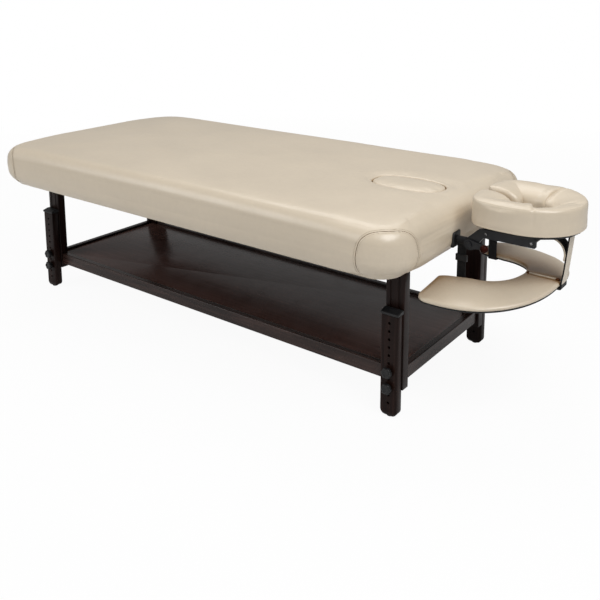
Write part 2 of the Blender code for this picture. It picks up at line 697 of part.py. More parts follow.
def make_lever(slide):
    pivot = empty("lock_lever_turn", slide.location + Vector((0, -LEVER_Y, 0)))
    tip = (LEVER_LENGTH - LEVER_END / 2, 0)
    plate = hull_plate((((0, 0), LEVER_HUB), (tip, LEVER_END)), LEVER_THICKNESS)
    lever = add_piece("lock_lever", plate, BLACK_METAL, pivot.location, pivot)
    cut(lever, cylinders(AXLE_DIAMETER + 2 * SLIDE_GAP, 2 * LEVER_THICKNESS, "Y"), pivot.location)
    radius = BALL_DIAMETER / 2
    steps = [(0, BALL_NECK / 2)]
    neck_angle, tip_angle, turns = 30, 160, 6
    for step in range(turns):
        angle = radians(neck_angle + (tip_angle - neck_angle) * step / (turns - 1))
        height = radius * (cos(radians(neck_angle)) - cos(angle)) + SLIDE_GAP
        steps.append((height, radius * sin(angle)))
    ball = turned(steps)
    ball.transform(AXIS_TURNS["Y"])
    ball_place = pivot.location + Vector((LEVER_LENGTH - LEVER_END / 2, -LEVER_THICKNESS / 2 - SEAT_GAP, 0))
    add_piece("lever_knob", ball, RED_WOOD, ball_place, pivot)


def screw(side):
    steps = (
        (-ARM_THICKNESS - SCREW_GRIP, SCREW_DIAMETER / 2),
        (0, SCREW_DIAMETER / 2),
        (0, SCREW_HEAD / 2),
        (0.6 * SCREW_HEAD_DEPTH, SCREW_HEAD / 2),
        (SCREW_HEAD_DEPTH, SCREW_HEAD / 3),
    )
    mesh = turned(steps, HOLE_SIDES)
    mesh.transform(Matrix.Rotation(radians(-90 * side), 4, "X"))
    return mesh


def make_arms(pivot):
    screw_hole = SCREW_DIAMETER + 2 * SLIDE_GAP
    screws = {"root": ROOT_SCREW, "tip": ARM_REACH}
    knee = (ARM_KNEE, ARM_RISE)
    corner = ARM_HEIGHT / 2 - ARM_TIP_ROUND
    tip_corners = [((ARM_REACH + corner, ARM_RISE + up * corner), 2 * ARM_TIP_ROUND) for up in (-1, 1)]
    for side_name, side in SIDES.items():
        place = Vector((PIVOT_X, side * ARM_Y, ROD_Z))
        neck = hull_plate((((0, 0), ARM_HUB), (knee, ARM_HEIGHT)), ARM_THICKNESS)
        arm = add_piece(f"cradle_arm_{side_name}", neck, BLACK_METAL, place, pivot)
        fuse(arm, hull_plate(((knee, ARM_HEIGHT), *tip_corners), ARM_THICKNESS), place)
        cut(arm, cylinders(AXLE_DIAMETER + 2 * SLIDE_GAP, 2 * ARM_THICKNESS, "Y"), place)
        holes = [(reach, 0, ARM_RISE) for reach in screws.values()]
        cut(arm, cylinders(screw_hole, 2 * ARM_THICKNESS, "Y", holes, HOLE_SIDES), place)
        outer_face = side * (ARM_Y + ARM_THICKNESS / 2 + SEAT_GAP)
        for screw_name, reach in screws.items():
            add_piece(f"arm_screw_{side_name}_{screw_name}", screw(side), STEEL,
                      (PIVOT_X + reach, outer_face, ARM_Z), pivot)

    bar_length = 2 * (ARM_Y - ARM_THICKNESS / 2 - SEAT_GAP)
    bar_place = Vector((PIVOT_X + ARM_REACH, 0, ARM_Z))
    rod = cylinders(CROSS_BAR, bar_length, "Y")
    cross_bar = add_piece("cradle_cross_bar", rod, BLACK_METAL, bar_place, pivot)
    ends = [(0, side * bar_length / 2, 0) for side in SIDES.values()]
    cut(cross_bar, cylinders(screw_hole, 2 * (SCREW_GRIP + SEAT_GAP), "Y", ends, HOLE_SIDES), bar_place)


def horseshoe_path(inset, past_ends=(0.0,), steps=14):
    """Points and outward directions along a horseshoe that opens to the table, past each end in turn."""
    radius = FACE_WIDTH / 2 - inset
    centre = Vector((FACE_REACH - FACE_WIDTH / 2, 0, 0))
    angles = [-FACE_SWEEP - degrees(past / radius) for past in reversed(past_ends)]
    angles += [FACE_SWEEP * (2 * step / steps - 1) for step in range(1, steps)]
    angles += [-angle for angle in reversed(angles[:len(past_ends)])]
    outwards = [Vector((cos(radians(angle)), sin(radians(angle)), 0)) for angle in angles]
    return [(centre + outward * radius, outward) for outward in outwards]


FACE_SECTION = (
    # across the band as a share of its half width, up as a share of the thickness
    (-0.86, 0.0), (0.90, 0.0), (1.0, 0.16), (0.985, 0.45), (1.0, 0.78), (0.94, 0.94), (0.78, 1.0),
    (0.34, 0.94), (-0.2, 0.80), (-0.66, 0.64), (-0.95, 0.46), (-1.0, 0.22),
)
FACE_END_SIZES = ((0.0, 1.0), (0.55, 0.84), (0.85, 0.53), (0.97, 0.24))
# shares of the half width past the sweep, and the sections' sizes there


def make_face_cushion(pivot):
    lift = empty("face_cushion_lift", (HEAD_X + FACE_REACH - FACE_WIDTH / 2, 0, FACE_BOTTOM))
    lift.parent = pivot
    lift.location -= pivot.location
    place = lift.location + pivot.location
    half_band = FACE_BAND / 2
    path = horseshoe_path(half_band, [past * half_band for past, _ in FACE_END_SIZES])
    end_sizes = [size for _, size in reversed(FACE_END_SIZES)]
    rings = []
    for index, (point, outward) in enumerate(path):
        from_end = min(index, len(path) - 1 - index)
        size = end_sizes[from_end] if from_end < len(end_sizes) else 1.0
        height = FACE_THICKNESS * (3 + size) / 4
        base = Vector((HEAD_X, 0, FACE_BOTTOM)) + point - place
        rings.append([base + outward * across * half_band * size + Vector((0, 0, up * height))
                      for across, up in FACE_SECTION])
    cushion = add_piece("face_cushion", loft(rings), LEATHER, place)
    cushion.parent = lift
    cushion.location = (0, 0, 0)


def make_platform(pivot):
    outer = [point for point, _ in horseshoe_path(PLATFORM_INSET)]
    inner = [point for point, _ in horseshoe_path(FACE_BAND - PLATFORM_INSET)]
    outline = [(point.x, point.y) for point in outer + inner[::-1]]
    place = Vector((HEAD_X, 0, PLATFORM_BOTTOM + PLATFORM / 2))
    platform = add_piece("cradle_platform", flat_plate(outline, PLATFORM), BLACK_PLASTIC, place, pivot)
    screw_hole = SCREW_DIAMETER + 2 * SLIDE_GAP
    for side in SIDES.values():
        arm_face = ARM_Y - ARM_THICKNESS / 2 - SEAT_GAP
        cleat = box_between((PIVOT_X + CLEAT_START, arm_face - CLEAT_WIDTH, PLATFORM_BOTTOM - CLEAT_HEIGHT),
                            (PIVOT_X + CLEAT_END, arm_face, PLATFORM_BOTTOM + PLATFORM / 2))
        if side < 0:
            cleat.transform(Matrix.Scale(-1, 4, (0, 1, 0)))
            cleat.flip_normals()
        fuse(platform, cleat)
        hole = (PIVOT_X + ROOT_SCREW, side * arm_face, ARM_Z)
        cut(platform, cylinders(screw_hole, 2 * (SCREW_GRIP + SEAT_GAP), "Y", [hole], HOLE_SIDES))


# Armrest

def armrest_fall(y):
    """How far the armrest has fallen at a distance from the centre line."""
    return ARMREST_SLOPE * max(abs(y) - ARMREST_FLAT, 0.0)


def armrest_edges():
    """Inner and outer edge points from the end of one arm round to the centre line, on the +Y side."""
    stations = []
    bend_run = ARMREST_BEND - ARMREST_BACK
    for share in (0.0, 0.06, 0.2, 0.45, 0.75):
        x = ARMREST_BACK + bend_run * share
        from_tip = x - ARMREST_BACK
        left = max(ARMREST_TIP_ROUND - from_tip, 0.0)
        rounding = ARMREST_TIP_ROUND - sqrt(ARMREST_TIP_ROUND ** 2 - left ** 2)
        flare = OPENING_FLARE * (OPENING_BEND - x) / (OPENING_BEND - ARMREST_BACK)
        inner = Vector((x, OPENING_HALF_WIDTH + flare + 0.4 * rounding, 0))
        outer = Vector((x, ARMREST_HALF_WIDTH - rounding, 0))
        stations.append((inner, outer))
    power = 2 / ARMREST_SQUARENESS
    for turn in (*range(90, 0, -10), 4, 0):
        across, along = sin(radians(turn)), max(cos(radians(turn)), 0.0)
        inner_x = OPENING_BEND + (OPENING_REACH - OPENING_BEND) * along
        outer_x = ARMREST_BEND + (ARMREST_REACH - ARMREST_BEND) * along ** power
        inner = Vector((inner_x, OPENING_HALF_WIDTH * across, 0))
        outer = Vector((outer_x, ARMREST_HALF_WIDTH * across ** power, 0))
        stations.append((inner, outer))
    inner, outer = stations[-1]
    meeting = Vector((0, SEAT_GAP, 0))
    stations[-1] = (inner + meeting, outer + meeting)
    return stations


ARMREST_SECTION = (
    # 0 at the inner edge or 1 at the outer, step in from it in half thicknesses, height as a share
    (0, 0.0, 0.50), (0, 0.20, 0.16), (0, 0.75, 0.0), (1, 0.75, 0.0), (1, 0.20, 0.16), (1, 0.0, 0.50),
    (1, 0.20, 0.80), (1, 0.75, 0.93), (1, 2.5, 1.0), (0, 2.5, 1.0), (0, 0.75, 0.93), (0, 0.20, 0.80),
)


def make_armrest(slide):
    edge = ARMREST_THICKNESS / 2
    stations = armrest_edges()
    tip_sizes = {0: 0.5, 1: 0.85}
    for side_name, side in SIDES.items():
        rings = []
        for index, (inner, outer) in enumerate(stations):
            across = (outer - inner).normalized()
            size = tip_sizes.get(index, 1.0)
            ring = []
            for at_outer, step_in, up in ARMREST_SECTION:
                base = outer - across * step_in * edge if at_outer else inner + across * step_in * edge
                z = ARMREST_BOTTOM + ARMREST_THICKNESS * (0.5 + (up - 0.5) * size) - armrest_fall(base.y)
                ring.append(Vector((HEAD_X + base.x, side * base.y, z)) - slide.location)
            rings.append(ring)
        half = add_piece(f"armrest_{side_name}", loft(rings), LEATHER, slide.location, slide)
        cut(half, hinge_rod(SEAT_GAP), (HEAD_X + OPENING_REACH + HINGE_MARGIN, 0, HINGE_Z))
    add_piece("armrest_hinge", hinge_rod(0), BLACK_METAL,
              (HEAD_X + OPENING_REACH + HINGE_MARGIN, 0, HINGE_Z), slide)


def hinge_rod(grow):
    """Hinge rod along X with a thicker clip at each end, or its bed when grown."""
    length = ARMREST_REACH - OPENING_REACH - 2 * HINGE_MARGIN
    rod = HINGE_DIAMETER / 2 + grow
    clip = HINGE_CLIP / 2 + grow
    clip_end = HINGE_CLIP_LENGTH + grow
    steps = ((-grow, clip), (clip_end, clip), (clip_end, rod), (length - clip_end, rod),
             (length - clip_end, clip), (length + grow, clip))
    mesh = turned(steps, HOLE_SIDES)
    mesh.transform(AXIS_TURNS["X"])
    return mesh


# Webbing

def make_side_straps(slide):
    strap_x = HEAD_X + SIDE_STRAP_START + SIDE_STRAP_WIDTH / 2
    tab_top = ARMREST_BOTTOM - SEAT_GAP
    for side_name, side in SIDES.items():
        place = Vector((strap_x, side * ROD_Y, ROD_Z))
        bore = ROD_DIAMETER + 2 * SLIDE_GAP
        loop = cylinders(bore + 2 * WEBBING, SIDE_STRAP_WIDTH, "X")
        strap = add_piece(f"side_strap_{side_name}", loop, WEB_BLACK, place, slide)
        tail_top = ROD_Z - ROD_DIAMETER / 2 - WEBBING / 2
        tail_low = tab_top - armrest_fall(ROD_Y) - 0.8 * WEBBING
        tail = box((SIDE_STRAP_WIDTH, SIDE_STRAP_TAIL, tail_top - tail_low),
                   (strap_x, side * ROD_Y, (tail_top + tail_low) / 2))
        fuse(strap, tail)
        tab = box((SIDE_STRAP_WIDTH, SIDE_STRAP_TAB, WEBBING),
                  (strap_x, side * (ROD_Y + SIDE_STRAP_TAB / 2), tab_top - WEBBING / 2))
        for corner in tab.vertices:
            corner.co.z -= armrest_fall(corner.co.y)
        fuse(strap, tab)
        cut(strap, cylinders(bore, 2 * SIDE_STRAP_WIDTH, "X"), place)

        buckle_place = Vector((strap_x, side * ROD_Y, ROD_Z - BUCKLE_DROP))
        plate = box((SIDE_STRAP_WIDTH + 2 * BUCKLE_WALL, BUCKLE_DEPTH, BUCKLE_HEIGHT))
        buckle = add_piece(f"strap_buckle_{side_name}", plate, BLACK_PLASTIC, buckle_place, slide)
        slot = box((SIDE_STRAP_WIDTH + 2 * SEAT_GAP, SIDE_STRAP_TAIL + 2 * SEAT_GAP, 2 * BUCKLE_HEIGHT))
        cut(buckle, slot, buckle_place)


def webbing(route, width):
    """A strip of webbing along a route in XZ, standing across Y."""
    rings = []
    for index, point in enumerate(route):
        before = Vector(route[max(index - 1, 0)])
        after = Vector(route[min(index + 1, len(route) - 1)])
        along = (after - before).normalized()
        normal = Vector((-along.y, along.x)) * WEBBING / 2
        near, far = Vector(point) - normal, Vector(point) + normal
        rings.append([Vector((near.x, -width / 2, near.y)), Vector((far.x, -width / 2, far.y)),
                      Vector((far.x, width / 2, far.y)), Vector((near.x, width / 2, near.y))])
    return loft(rings)


def add_strap(name, route, slide):
    local = [(x - slide.location.x, z - slide.location.z) for x, z in route]
    add_piece(name, webbing(local, FRONT_STRAP_WIDTH), WEB_BLACK, slide.location, slide)


def make_front_straps(slide):
    under_platform = PLATFORM_BOTTOM - SEAT_GAP - WEBBING / 2
    under_armrest = ARMREST_BOTTOM - SEAT_GAP - WEBBING / 2
    edge_x = HEAD_X + ARMREST_REACH + SEAT_GAP + WEBBING
    top_x = edge_x + FRONT_STRAP_LEAN
    run_top = Vector((top_x, under_platform - STRAP_FOLD))
    run_low = Vector((edge_x + STRAP_FOLD, ARMREST_TOP + FRONT_STRAP_LIFT))
    add_strap("front_strap_outer", (
        (top_x - FRONT_STRAP_TAB, under_platform), (top_x - STRAP_FOLD, under_platform), run_top, run_low,
        (edge_x, ARMREST_TOP), (edge_x, ARMREST_BOTTOM + STRAP_FOLD), (edge_x - STRAP_FOLD, under_armrest),
        (edge_x - FRONT_STRAP_TAB, under_armrest),
    ), slide)

    bar_x = PIVOT_X + ARM_REACH
    under_bar = ARM_Z - CROSS_BAR / 2 - SEAT_GAP - WEBBING / 2
    behind = Vector((-WEBBING - SEAT_GAP, 0))
    join_top = run_low.lerp(run_top, BRANCH_TOP) + behind
    join_low = run_low.lerp(run_top, BRANCH_LOW) + behind
    bar_start = Vector((bar_x - STRAP_FOLD, under_bar))
    bar_end = Vector((bar_x + STRAP_FOLD, under_bar))
    corner = Vector((join_top.x - STRAP_FOLD, under_bar))
    curve = [bar_end.lerp(corner, share).lerp(corner.lerp(join_top, share), share)
             for share in (0.3, 0.6, 0.85)]
    add_strap("front_strap_inner", (bar_start, bar_end, *curve, join_top, join_low), slide)


def main():
    make_top_cushion()
    make_breath_plug()
    make_top_frame()
    for end_name in LEG_ENDS:
        for side_name in SIDES:
            make_leg(end_name, side_name)
    make_shelf()
    make_sockets()
    slide = empty("cradle_slide", (PIVOT_X, 0, ROD_Z))
    tilt = empty("cradle_tilt", (PIVOT_X, 0, ROD_Z))
    make_cradle_base(slide)
    make_lever(slide)
    make_arms(tilt)
    make_platform(tilt)
    make_face_cushion(tilt)
    make_armrest(slide)
    make_side_straps(slide)
    make_front_straps(slide)


main()
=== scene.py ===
"""Looks of the massage table: upholstery, varnished wood, hardware, webbing and a plain studio."""

import json
from math import cos, pi, radians, sin, sqrt

import bmesh
import bpy
import numpy as np
from mathutils import Matrix, Vector, geometry, kdtree, noise

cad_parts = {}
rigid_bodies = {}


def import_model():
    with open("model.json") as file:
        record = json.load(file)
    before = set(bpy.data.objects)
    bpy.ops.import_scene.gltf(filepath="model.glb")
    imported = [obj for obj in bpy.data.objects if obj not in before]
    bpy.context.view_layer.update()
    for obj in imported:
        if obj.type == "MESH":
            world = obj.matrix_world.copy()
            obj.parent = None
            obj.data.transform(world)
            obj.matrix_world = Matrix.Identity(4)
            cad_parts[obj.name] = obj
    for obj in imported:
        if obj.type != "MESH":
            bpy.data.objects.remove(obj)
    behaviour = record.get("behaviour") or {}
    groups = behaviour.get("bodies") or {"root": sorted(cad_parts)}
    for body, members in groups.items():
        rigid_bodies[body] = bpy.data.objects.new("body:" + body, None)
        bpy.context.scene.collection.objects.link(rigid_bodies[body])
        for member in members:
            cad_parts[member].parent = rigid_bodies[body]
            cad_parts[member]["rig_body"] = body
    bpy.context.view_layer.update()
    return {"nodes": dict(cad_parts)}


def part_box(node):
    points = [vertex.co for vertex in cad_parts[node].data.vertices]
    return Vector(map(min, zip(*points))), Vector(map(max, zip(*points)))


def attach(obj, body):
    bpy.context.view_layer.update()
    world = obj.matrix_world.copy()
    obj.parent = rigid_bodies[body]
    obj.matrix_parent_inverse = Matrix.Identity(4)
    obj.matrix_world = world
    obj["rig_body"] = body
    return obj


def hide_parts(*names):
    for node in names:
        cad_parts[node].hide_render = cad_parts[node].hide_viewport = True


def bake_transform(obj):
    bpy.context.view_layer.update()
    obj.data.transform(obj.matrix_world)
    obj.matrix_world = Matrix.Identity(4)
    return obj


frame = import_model()
NODES = frame["nodes"]

SIDES = {"front": -1, "back": 1}
LEGS = [f"{end}_{side}" for end in ("head", "foot") for side in SIDES]
QUARTERS = ((1, 1, 0), (-1, 1, 90), (-1, -1, 180), (1, -1, 270))   # side in x, side in y, start of its arc
WELD = 0.00001

# Padded top: its box, and the sizes of its edges
TOP_LOW, TOP_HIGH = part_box("top_cushion")
TOP_MIDDLE = (TOP_LOW + TOP_HIGH) / 2
TOP_HALF_LENGTH = (TOP_HIGH.x - TOP_LOW.x) / 2
TOP_HALF_WIDTH = (TOP_HIGH.y - TOP_LOW.y) / 2
TOP_CORNER = 0.115
TOP_ROLL = 0.050
TOP_UNDER_ROLL = 0.056
TOP_UNDER_DEPTH = 0.040
TOP_CROWN = 0.003            # crown before the foam swells
TOP_SWELL = 0.005
TOP_SIDE_DRAW = 0.004
TOP_SIDE_BULGE = 0.0015
SIDE_FOAM = 0.045
TOP_VOXEL = 0.016            # fineness of the simulated skin
HEM_RISE = 0.005             # how far the lower edge is drawn up
CORNER_RISE = 0.012          # and how much further round the corners
CORNER_SPREAD = 0.17
HEM_FADE = 0.012
HEM_TOP = 0.8                # share of the side's height at which that draw ends
CORNER_DROOP = 0.010         # how far the top falls towards each corner
DROOP_REACH = 0.26
TOP_RIM = 0.080              # width of the rim that is meshed in rows
TOP_PITCH = 0.024            # spacing of the points inside the rim
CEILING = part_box("deck_panel")[1].z + 0.0003
EDGE_Z = TOP_HIGH.z - TOP_CROWN - TOP_SWELL

# Breath hole
PLUG_LOW, PLUG_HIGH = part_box("breath_plug")
HOLE_X = (PLUG_LOW.x + PLUG_HIGH.x) / 2
HOLE_HALF_LENGTH = (PLUG_HIGH.x - PLUG_LOW.x) / 2 + 0.0003
HOLE_HALF_WIDTH = (PLUG_HIGH.y - PLUG_LOW.y) / 2 + 0.0003
HOLE_ROLL = 0.008
HOLE_SQUARENESS = 2.6
HOLE_RINGS = (0, 0.0005, 0.0015, 0.003, 0.005, 0.0075, HOLE_ROLL, 0.013, 0.02)
HOLE_CLEAR = 0.03            # the surface's other points stay this far off
HOLE_WALL_STEP = 0.012

# Corner patches of the top, along the edge from the corner's middle and up the side from below
PATCH_HALF = 0.098
PATCH_FOOT = 0.092
PATCH_WAIST = 0.085
PATCH_HEIGHT = 0.183
PATCH_SQUARENESS = 2.7
PATCH_STEPS = 260            # points along half of its seam
PATCH_MARGIN = 0.016         # how far past its outline the seam still shapes the cover
PATCH_PUFF = 0.0006
PATCH_PUFF_REACH = 0.006
PATCH_FADE = 0.02
TOPSTITCH = 0.0062
# A dark tube in each patch's seam groove paints the shade of the open seam: its radius, depth below the
# surface, step and sides.
SEAM_SHADOW_LINE = 0.0007
SEAM_DEPTH = 0.0009
SEAM_STEP = 0.0022
SEAM_SIDES = 8
GROOVE, GROOVE_WIDTH = 0.0022, 0.0016
LIP, LIP_PLACE, LIP_WIDTH = 0.0007, 0.0045, 0.0032
DENT, DENT_WIDTH = 0.0011, 0.0012
STITCH_LENGTH = 0.0036
STITCH_PITCH = 0.0052
THREAD = 0.00045

# Breath plug and face pad
PLUG_SWELL = 0.003
PLUG_VOXEL = 0.006
FACE_LOW, FACE_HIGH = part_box("face_cushion")
FACE_TOP = FACE_HIGH.z + 0.0055
FACE_FRONT, FACE_REAR, FACE_SIDE = 0.153, 0.152, 0.1525
FACE_REAR_SQUARENESS = 4.2
FACE_X = FACE_HIGH.x - FACE_FRONT + 0.002
FACE_BAND = 0.105
FACE_GAP = 0.005             # half the slit between its ends
FACE_SEAM = radians(69)
FACE_STEP = 0.008            # length over which the brow pad meets the cheek pads
FACE_SWELL = 0.003
FACE_VOXEL = 0.0065
FACE_GROOVE, FACE_GROOVE_WIDTH = 0.0030, 0.0028
FACE_PUFF, FACE_PUFF_PLACE, FACE_PUFF_WIDTH = 0.0045, 0.012, 0.014
FACE_PUCKER, FACE_PUCKER_WIDTH, FACE_PUCKER_RATE = 0.0006, 0.010, 900
FACE_SECTION_POINTS = 120
FACE_END_ROUND = 0.020
FACE_END_SQUARENESS = 2.6
# Across the band as a share of its half width, up as a share of the thickness
FACE_WALL = ((-0.86, 0.0), (0.0, 0.0), (0.90, 0.0), (1.0, 0.12), (0.99, 0.45), (1.0, 0.80), (0.97, 0.93),
             (0.86, 0.98))
FACE_CHEEK = FACE_WALL + ((0.45, 0.99), (-0.05, 0.95), (-0.52, 0.86), (-0.90, 0.66), (-1.0, 0.34))
FACE_BROW = FACE_WALL + ((0.44, 0.94), (-0.12, 0.84), (-0.62, 0.72), (-0.93, 0.56), (-1.0, 0.28))

# Armrest, measured from the head end
HEAD_X = TOP_HIGH.x
ARMREST_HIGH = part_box("armrest_front")[1].z
ARMREST_LOW = ARMREST_HIGH - 0.018
ARMREST_BOARD = 0.0040
ARMREST_SWELL = 0.0012
ARMREST_VOXEL = 0.005
ARMREST_BACK = -0.035
ARMREST_BEND = 0.030
ARMREST_REACH = 0.288
ARMREST_HALF_WIDTH = 0.290
ARMREST_SQUARENESS = 2.15
ARMREST_TIP_ROUND = 0.034
ARMREST_SLOPE = 0.11
ARMREST_FLAT = 0.024
ARMREST_EASE = 0.012         # how gently the slope starts
ARMREST_MEETING = 0.0006     # half the gap between the two halves
OPENING_REACH = 0.172
OPENING_HALF_WIDTH = 0.109
OPENING_BEND = 0.060
OPENING_FLARE = 0.022
HINGE_ROD = 0.0036
HINGE_CLIP = 0.0050
HINGE_DEPTH = 0.0014

# Webbing
OUTER_STRAP = 0.0045         # thickness of the two sewn layers
INNER_STRAP = 0.0050
SEAT_GAP = 0.0003
SIDE_STRAP = 0.0014
SIDE_STRAP_LOOP = 0.0111     # radius of its middle round the rod
SIDE_STRAP_TAB = 0.050
SIDE_STRAP_APART = 0.0008
SIDE_STRAP_NECK = 0.017
SIDE_STRAP_BEND = 0.003
STRAP_STEP = 0.003
FRONT_STRAP_WIDTH = 0.044
FRONT_STRAP_LEAN = 0.017
FRONT_STRAP_TAB = 0.026
FRONT_STRAP_LIFT = 0.030
STRAP_FOLD = 0.005
BRANCH_LOW = 0.32
BRANCH_TOP = 0.48

# Legs and cradle hardware
EDGE_ROUND = 0.0025
CREASE_ANGLE = 32
FLUTE_WIDTH = 0.006
FLUTE_DEPTH = 0.003
FLUTE_SPACING = 0.028
EXTENSION_ROUND = 0.016
BOLT_HOLES = 11
BOLT_PITCH = 0.025
FIRST_HOLE = 0.045
BOLT_HOLE = 0.0088
KNOB_DEPTH = 0.018
KNOB_LOBES = 6
KNOB_FLUTE = 0.0022
PLATFORM = 0.008
PIVOT_X = HEAD_X + 0.056
PIVOT_Z = (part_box("cradle_axle")[0].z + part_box("cradle_axle")[1].z) / 2
ARM_HUB = 0.038
ARM_HEIGHT = 0.026
ARM_RISE = 0.039
ARM_KNEE = 0.034
ARM_REACH = 0.182
ARM_TIP_ROUND = 0.005
ROOT_SCREW = 0.049
LEVER_HUB = 0.028
LEVER_END = 0.012
PIVOT_BORE = 0.0054
SCREW_BORE = 0.0029
DRILL_PAST = 0.01
PLATE_ROUND = 0.0009
PLATE_ANGLE = 40

# Swelling
SWELL_PRESSURE = 4.0
SWELL_FRAMES = 20
SWELL_NEAR = 6               # how many simulated points each point follows
SWELL_EASE = 0.004

# Studio
MIRRORED = 0.34              # brightness of the white surroundings in reflections
AMBIENT = 0.07
FLOOR_REACH = 40.0
LAMPS = {                    # place, target, size and watts
    "key": ((2.5, -1.15, 3.2), (0.6, 0, 0.5), (2.2, 1.7), 100.0),
    "overhead": ((-0.5, 0.7, 3.1), (0, 0.1, 0.5), (2.6, 2.0), 43.0),
    "front_left": ((-2.2, -2.8, 2.0), (-0.3, 0, 0.4), (2.2, 2.0), 47.0),
}
LENS, SENSOR = 46.47, 36.0
SHIFT = (-0.0265, -0.31)
CAMERA_PLACE = (1.729, -2.113, 1.286)
CAMERA_DIP, CAMERA_TURN = 10.18, 36.60


# Materials

def connect(tree, socket, value):
    """Link a socket to an output, or set it to a plain value."""
    if isinstance(value, bpy.types.NodeSocket):
        tree.links.new(value, socket)
    else:
        socket.default_value = value


class Finish:
    """A Principled material whose texture nodes are added one at a time."""

    def __init__(self, name, **sockets):
        self.made = bpy.data.materials.new(name)
        self.made.use_nodes = True
        self.tree = self.made.node_tree
        self.shader = self.tree.nodes["Principled BSDF"]
        for socket, value in sockets.items():
            self.shader.inputs[socket.replace("_", " ")].default_value = value
        self.place = self.node("TexCoord").outputs["Object"]

    def node(self, kind, inputs=None, **settings):
        made = self.tree.nodes.new("ShaderNode" + kind)
        for setting, value in settings.items():
            setattr(made, setting, value)
        for socket, value in (inputs or {}).items():
            connect(self.tree, made.inputs[socket], value)
        return made

    def feed(self, socket, output):
        self.tree.links.new(output, self.shader.inputs[socket])

    def noise(self, scale, detail, place=None, roughness=0.5, distortion=0.0):
        return self.node("TexNoise", {"Vector": place or self.place, "Scale": scale, "Detail": detail,
                                      "Roughness": roughness, "Distortion": distortion}).outputs["Fac"]

    def spread(self, value, low, high, source=(0.3, 0.7)):
        return self.node("MapRange", {"Value": value, "From Min": source[0], "From Max": source[1],
                                      "To Min": low, "To Max": high}).outputs["Result"]

    def ramp(self, value, stops):
        made = self.node("ValToRGB", {"Fac": value})
        elements = made.color_ramp.elements
        while len(elements) < len(stops):
            elements.new(0.5)
        for element, (position, colour) in zip(elements, stops):
            element.position = position
            element.color = (*colour, 1.0)
        return made.outputs["Color"]

    def scaled(self, colour, value):
        """Two colours multiplied: a Mix node takes them at sockets 6 and 7 and gives the result at 2."""
        inputs = {"Factor": 1.0, 6: colour, 7: value}
        return self.node("Mix", inputs, data_type="RGBA", blend_type="MULTIPLY").outputs[2]

    def bump(self, height, distance, strength, under=None):
        inputs = {"Height": height, "Distance": distance, "Strength": strength}
        if under:
            inputs["Normal"] = under
        made = self.node("Bump", inputs)
        self.feed("Normal", made.outputs["Normal"])
        return made.outputs["Normal"]


def leatherette(name, colour, crease, reach=0.08, stops=(0.10, 0.78), shadow_tilt=None):
    """Coated cover: soft blotches, a fine pebbled grain, and painted shade: a darker, warmer tone where
    ambient occlusion finds it hemmed in; with a shadow tilt, also a painted shadow where the way towards the
    key lamp is blocked.
    """
    finish = Finish(name, Specular_IOR_Level=0.62, Sheen_Weight=0.04, Sheen_Roughness=0.5)
    blotch = finish.spread(finish.noise(3.0, 4.0), 0.965, 1.025)
    fine = finish.spread(finish.noise(55.0, 2.0), 0.985, 1.012)
    # Painted shade: ambient occlusion blends the colour towards the darker, warmer one in hollows, creases
    # and under things.
    openness = finish.node("AmbientOcclusion", {"Distance": reach}, samples=16)
    # Painted shadow: the normal is tilted towards the key lamp, so the tone darkens where something stands
    # between the surface and that lamp.
    if shadow_tilt:
        facing = finish.node("NewGeometry").outputs["Normal"]
        tilted = finish.node("VectorMath", {0: facing, 1: shadow_tilt}, operation="ADD").outputs["Vector"]
        finish.tree.links.new(tilted, openness.inputs["Normal"])
    tone = finish.ramp(openness.outputs["AO"], ((stops[0], crease), (stops[1], colour)))
    finish.feed("Base Color", finish.scaled(finish.scaled(tone, blotch), fine))
    finish.feed("Roughness", finish.spread(finish.noise(9.0, 3.0), 0.31, 0.40))
    grain = finish.node("TexVoronoi", {"Vector": finish.place, "Scale": 620.0}, feature="SMOOTH_F1")
    pebble = finish.bump(grain.outputs["Distance"], 0.00035, 0.22)
    finish.bump(finish.noise(7.0, 2.0), 0.004, 0.10, pebble)
    return finish.made


def varnished_wood(name, along, dark, light, roughness, specular):
    """Stained wood under varnish: streaks and pores that run along one axis."""
    finish = Finish(name, Specular_IOR_Level=specular)

    def stretched(across, onward):
        scale = [across] * 3
        scale["XYZ".index(along)] = onward
        return finish.node("Mapping", {"Vector": finish.place, "Scale": scale}).outputs["Vector"]

    streak = finish.noise(1.0, 7.0, stretched(70.0, 3.2), 0.62, 0.8)
    middle = [sqrt(a * b) for a, b in zip(dark, light)]
    tone = finish.ramp(streak, ((0.34, dark), (0.52, middle), (0.70, light)))
    finish.feed("Base Color", finish.scaled(tone, finish.spread(finish.noise(5.0, 2.0), 0.82, 1.15)))
    finish.feed("Roughness", finish.spread(finish.noise(14.0, 3.0), roughness * 0.8, roughness * 1.25))
    finish.bump(finish.noise(1.0, 3.0, stretched(420.0, 18.0)), 0.00012, 0.25)
    return finish.made


def moulded(name, colour, roughness, speck=900.0, depth=0.00012, specular=0.4):
    """Moulded plastic or powder coat: a fine speckled skin with slight wear."""
    finish = Finish(name, Specular_IOR_Level=specular)
    worn = finish.spread(finish.noise(38.0, 4.0), 0.8, 1.35)
    finish.feed("Base Color", finish.scaled((*colour, 1.0), worn))
    finish.feed("Roughness", finish.spread(finish.noise(60.0, 3.0), roughness - 0.06, roughness + 0.08))
    finish.bump(finish.noise(speck, 2.0), depth, 0.35)
    return finish.made


